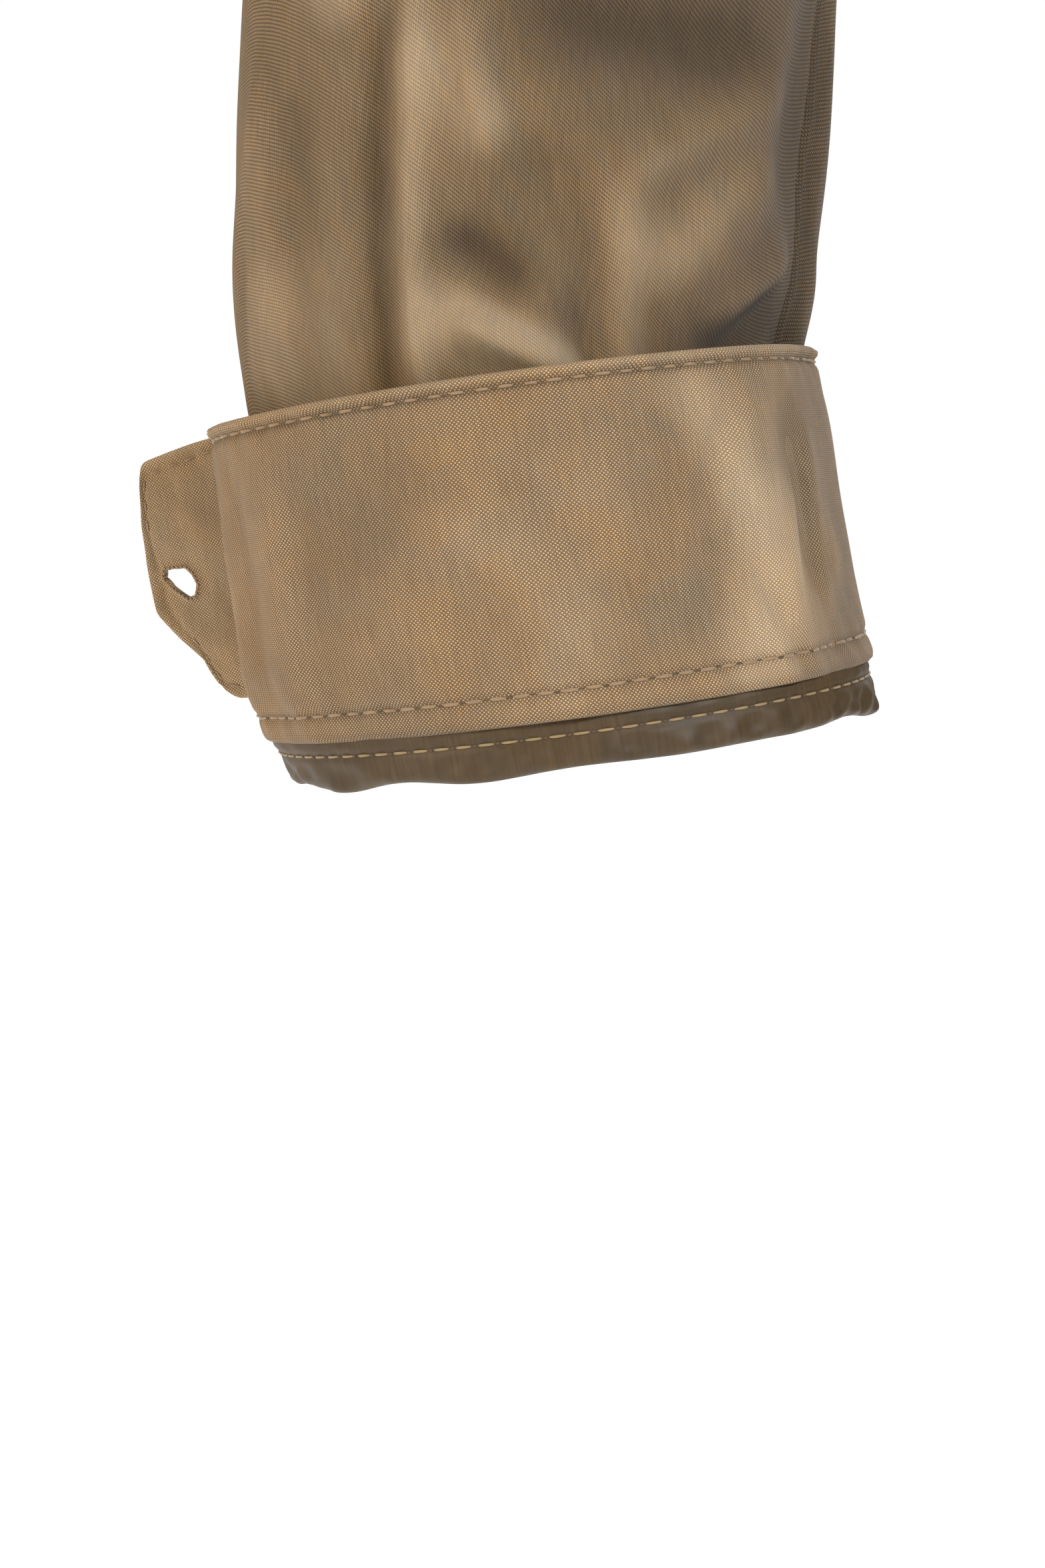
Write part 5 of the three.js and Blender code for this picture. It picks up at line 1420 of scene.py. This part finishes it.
# ---- Stage ----
def build_stage():
    """Pale floor far below the hem, a white world, soft lights, and the camera in front of the right cuff."""
    scene = bpy.context.scene
    scene.view_settings.view_transform = "Standard"
    scene.view_settings.look = "None"
    world = bpy.data.worlds.new("white_studio")
    scene.world = world
    world.use_nodes = True
    tree = world.node_tree
    back = tree.nodes["Background"]
    seen = add_node(tree, "ShaderNodeLightPath").outputs["Is Camera Ray"]
    level = ranged(tree, seen, 0.0, 1.0, 0.31, 1.0)
    back.inputs["Color"].default_value = (1, 1, 1, 1)
    tree.links.new(level, back.inputs["Strength"])
    floor_z, reach = -1420.0, 30000.0
    ends = np.linspace(-reach, reach, 3)
    x, y = np.meshgrid(ends, ends)
    grid = np.stack([x, y, np.full_like(x, floor_z)], -1)
    material = new_material("pale_floor", {"Roughness": 0.9, "Base Color": (0.9, 0.9, 0.9, 1),
                                           "Emission Color": (1, 1, 1, 1), "Emission Strength": 0.75})[0]
    floor = surface("floor", grid, grid[..., :2], np.array((0, 0, 1.0)), material)
    cuff = np.array((-CUFF_TOP_X, CUFF_FOLD_Y, CUFF_FOLD_Z + CUFF_HEIGHT / 2))
    for name, place, aim, size, power, tint in (
            ("key_light", (0.85, -1.4, 0.5), (-0.2, 0, -0.5), 0.5, 48.0, (0.96, 0.98, 1.0)),
            ("left_light", (-1.8, -1.0, -0.1), (-0.3, 0, -0.5), 0.9, 30.0, (1.0, 0.85, 0.62)),
            ("back_light", (0.6, 1.9, 0.8), (0, 0, -0.3), 1.6, 30.0, (1.0, 1.0, 1.0))):
        data = bpy.data.lights.new(name, "AREA")
        data.energy, data.size, data.shape, data.color = power, size, "DISK", tint
        lamp = bpy.data.objects.new(name, data)
        lamp.location = place
        lamp.rotation_euler = (Vector(aim) - Vector(place)).to_track_quat("-Z", "Y").to_euler()
        scene.collection.objects.link(lamp)
    data = bpy.data.cameras.new("camera")
    data.sensor_width, data.lens = 36, 50
    data.clip_start = 0.01
    camera = bpy.data.objects.new("camera", data)
    camera.location = ((cuff[0] + 2.2) * MM, (cuff[1] - 365) * MM, -0.615)
    camera.rotation_euler = (math.radians(90 - 6.4), 0, 0)
    scene.collection.objects.link(camera)
    scene.camera = camera


# ---- Operators ----
class JACKET_OT_body(bpy.types.Operator):
    """Makes the back, the fronts and their lining"""
    bl_idname = "jacket.body"
    bl_label = "Body"

    def execute(self, context):
        build_body()
        return {"FINISHED"}


class JACKET_OT_sleeves(bpy.types.Operator):
    """Makes both sleeves with their lining"""
    bl_idname = "jacket.sleeves"
    bl_label = "Sleeves"

    def execute(self, context):
        for name in SIDES:
            build_sleeve(name)
        return {"FINISHED"}


class JACKET_OT_cuffs(bpy.types.Operator):
    """Makes the turned-back cuffs, their lining strips, stitches and tabs"""
    bl_idname = "jacket.cuffs"
    bl_label = "Cuffs"

    def execute(self, context):
        for name in SIDES:
            build_cuff(name)
            build_tab(name)
            build_button(name)
        return {"FINISHED"}


class JACKET_OT_pockets(bpy.types.Operator):
    """Makes the patch pockets with their flaps and snaps"""
    bl_idname = "jacket.pockets"
    bl_label = "Pockets"

    def execute(self, context):
        build_pockets()
        return {"FINISHED"}


class JACKET_OT_collar(bpy.types.Operator):
    """Makes the collar and the hanging loop"""
    bl_idname = "jacket.collar"
    bl_label = "Collar"

    def execute(self, context):
        build_collar()
        build_loop()
        return {"FINISHED"}


class JACKET_OT_zip(bpy.types.Operator):
    """Makes the zip's tapes and teeth, and finishes the metal parts"""
    bl_idname = "jacket.zip"
    bl_label = "Zip"

    def execute(self, context):
        build_zip()
        finish_cad_nodes()
        return {"FINISHED"}


class JACKET_OT_stage(bpy.types.Operator):
    """Makes the floor, the lights and the camera"""
    bl_idname = "jacket.stage"
    bl_label = "Stage"

    def execute(self, context):
        build_stage()
        return {"FINISHED"}


class JACKET_PT_pieces(bpy.types.Panel):
    """Lists the jacket's pieces in the sidebar"""
    bl_label = "Jacket"
    bl_idname = "JACKET_PT_pieces"
    bl_space_type = "VIEW_3D"
    bl_region_type = "UI"
    bl_category = "Jacket"

    def draw(self, context):
        for group in (context.scene.jacket_sizes, context.scene.jacket_colours):
            for key in group.__annotations__:
                self.layout.prop(group, key)
        for operator in OPERATORS:
            self.layout.operator(operator.bl_idname)


OPERATORS = (JACKET_OT_body, JACKET_OT_sleeves, JACKET_OT_cuffs, JACKET_OT_pockets, JACKET_OT_collar, JACKET_OT_zip,
             JACKET_OT_stage)
CLASSES = (JacketColours, JacketSizes, *OPERATORS, JACKET_PT_pieces)


def register():
    for made in CLASSES:
        bpy.utils.register_class(made)
    bpy.types.Scene.jacket_colours = PointerProperty(type=JacketColours)
    bpy.types.Scene.jacket_sizes = PointerProperty(type=JacketSizes)


def unregister():
    del bpy.types.Scene.jacket_colours, bpy.types.Scene.jacket_sizes
    for made in reversed(CLASSES):
        bpy.utils.unregister_class(made)


def main():
    """Registers the classes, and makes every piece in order."""
    register()
    for operator in OPERATORS:
        getattr(bpy.ops.jacket, operator.bl_idname.split(".")[1])()


if __name__ == "__main__":
    main()
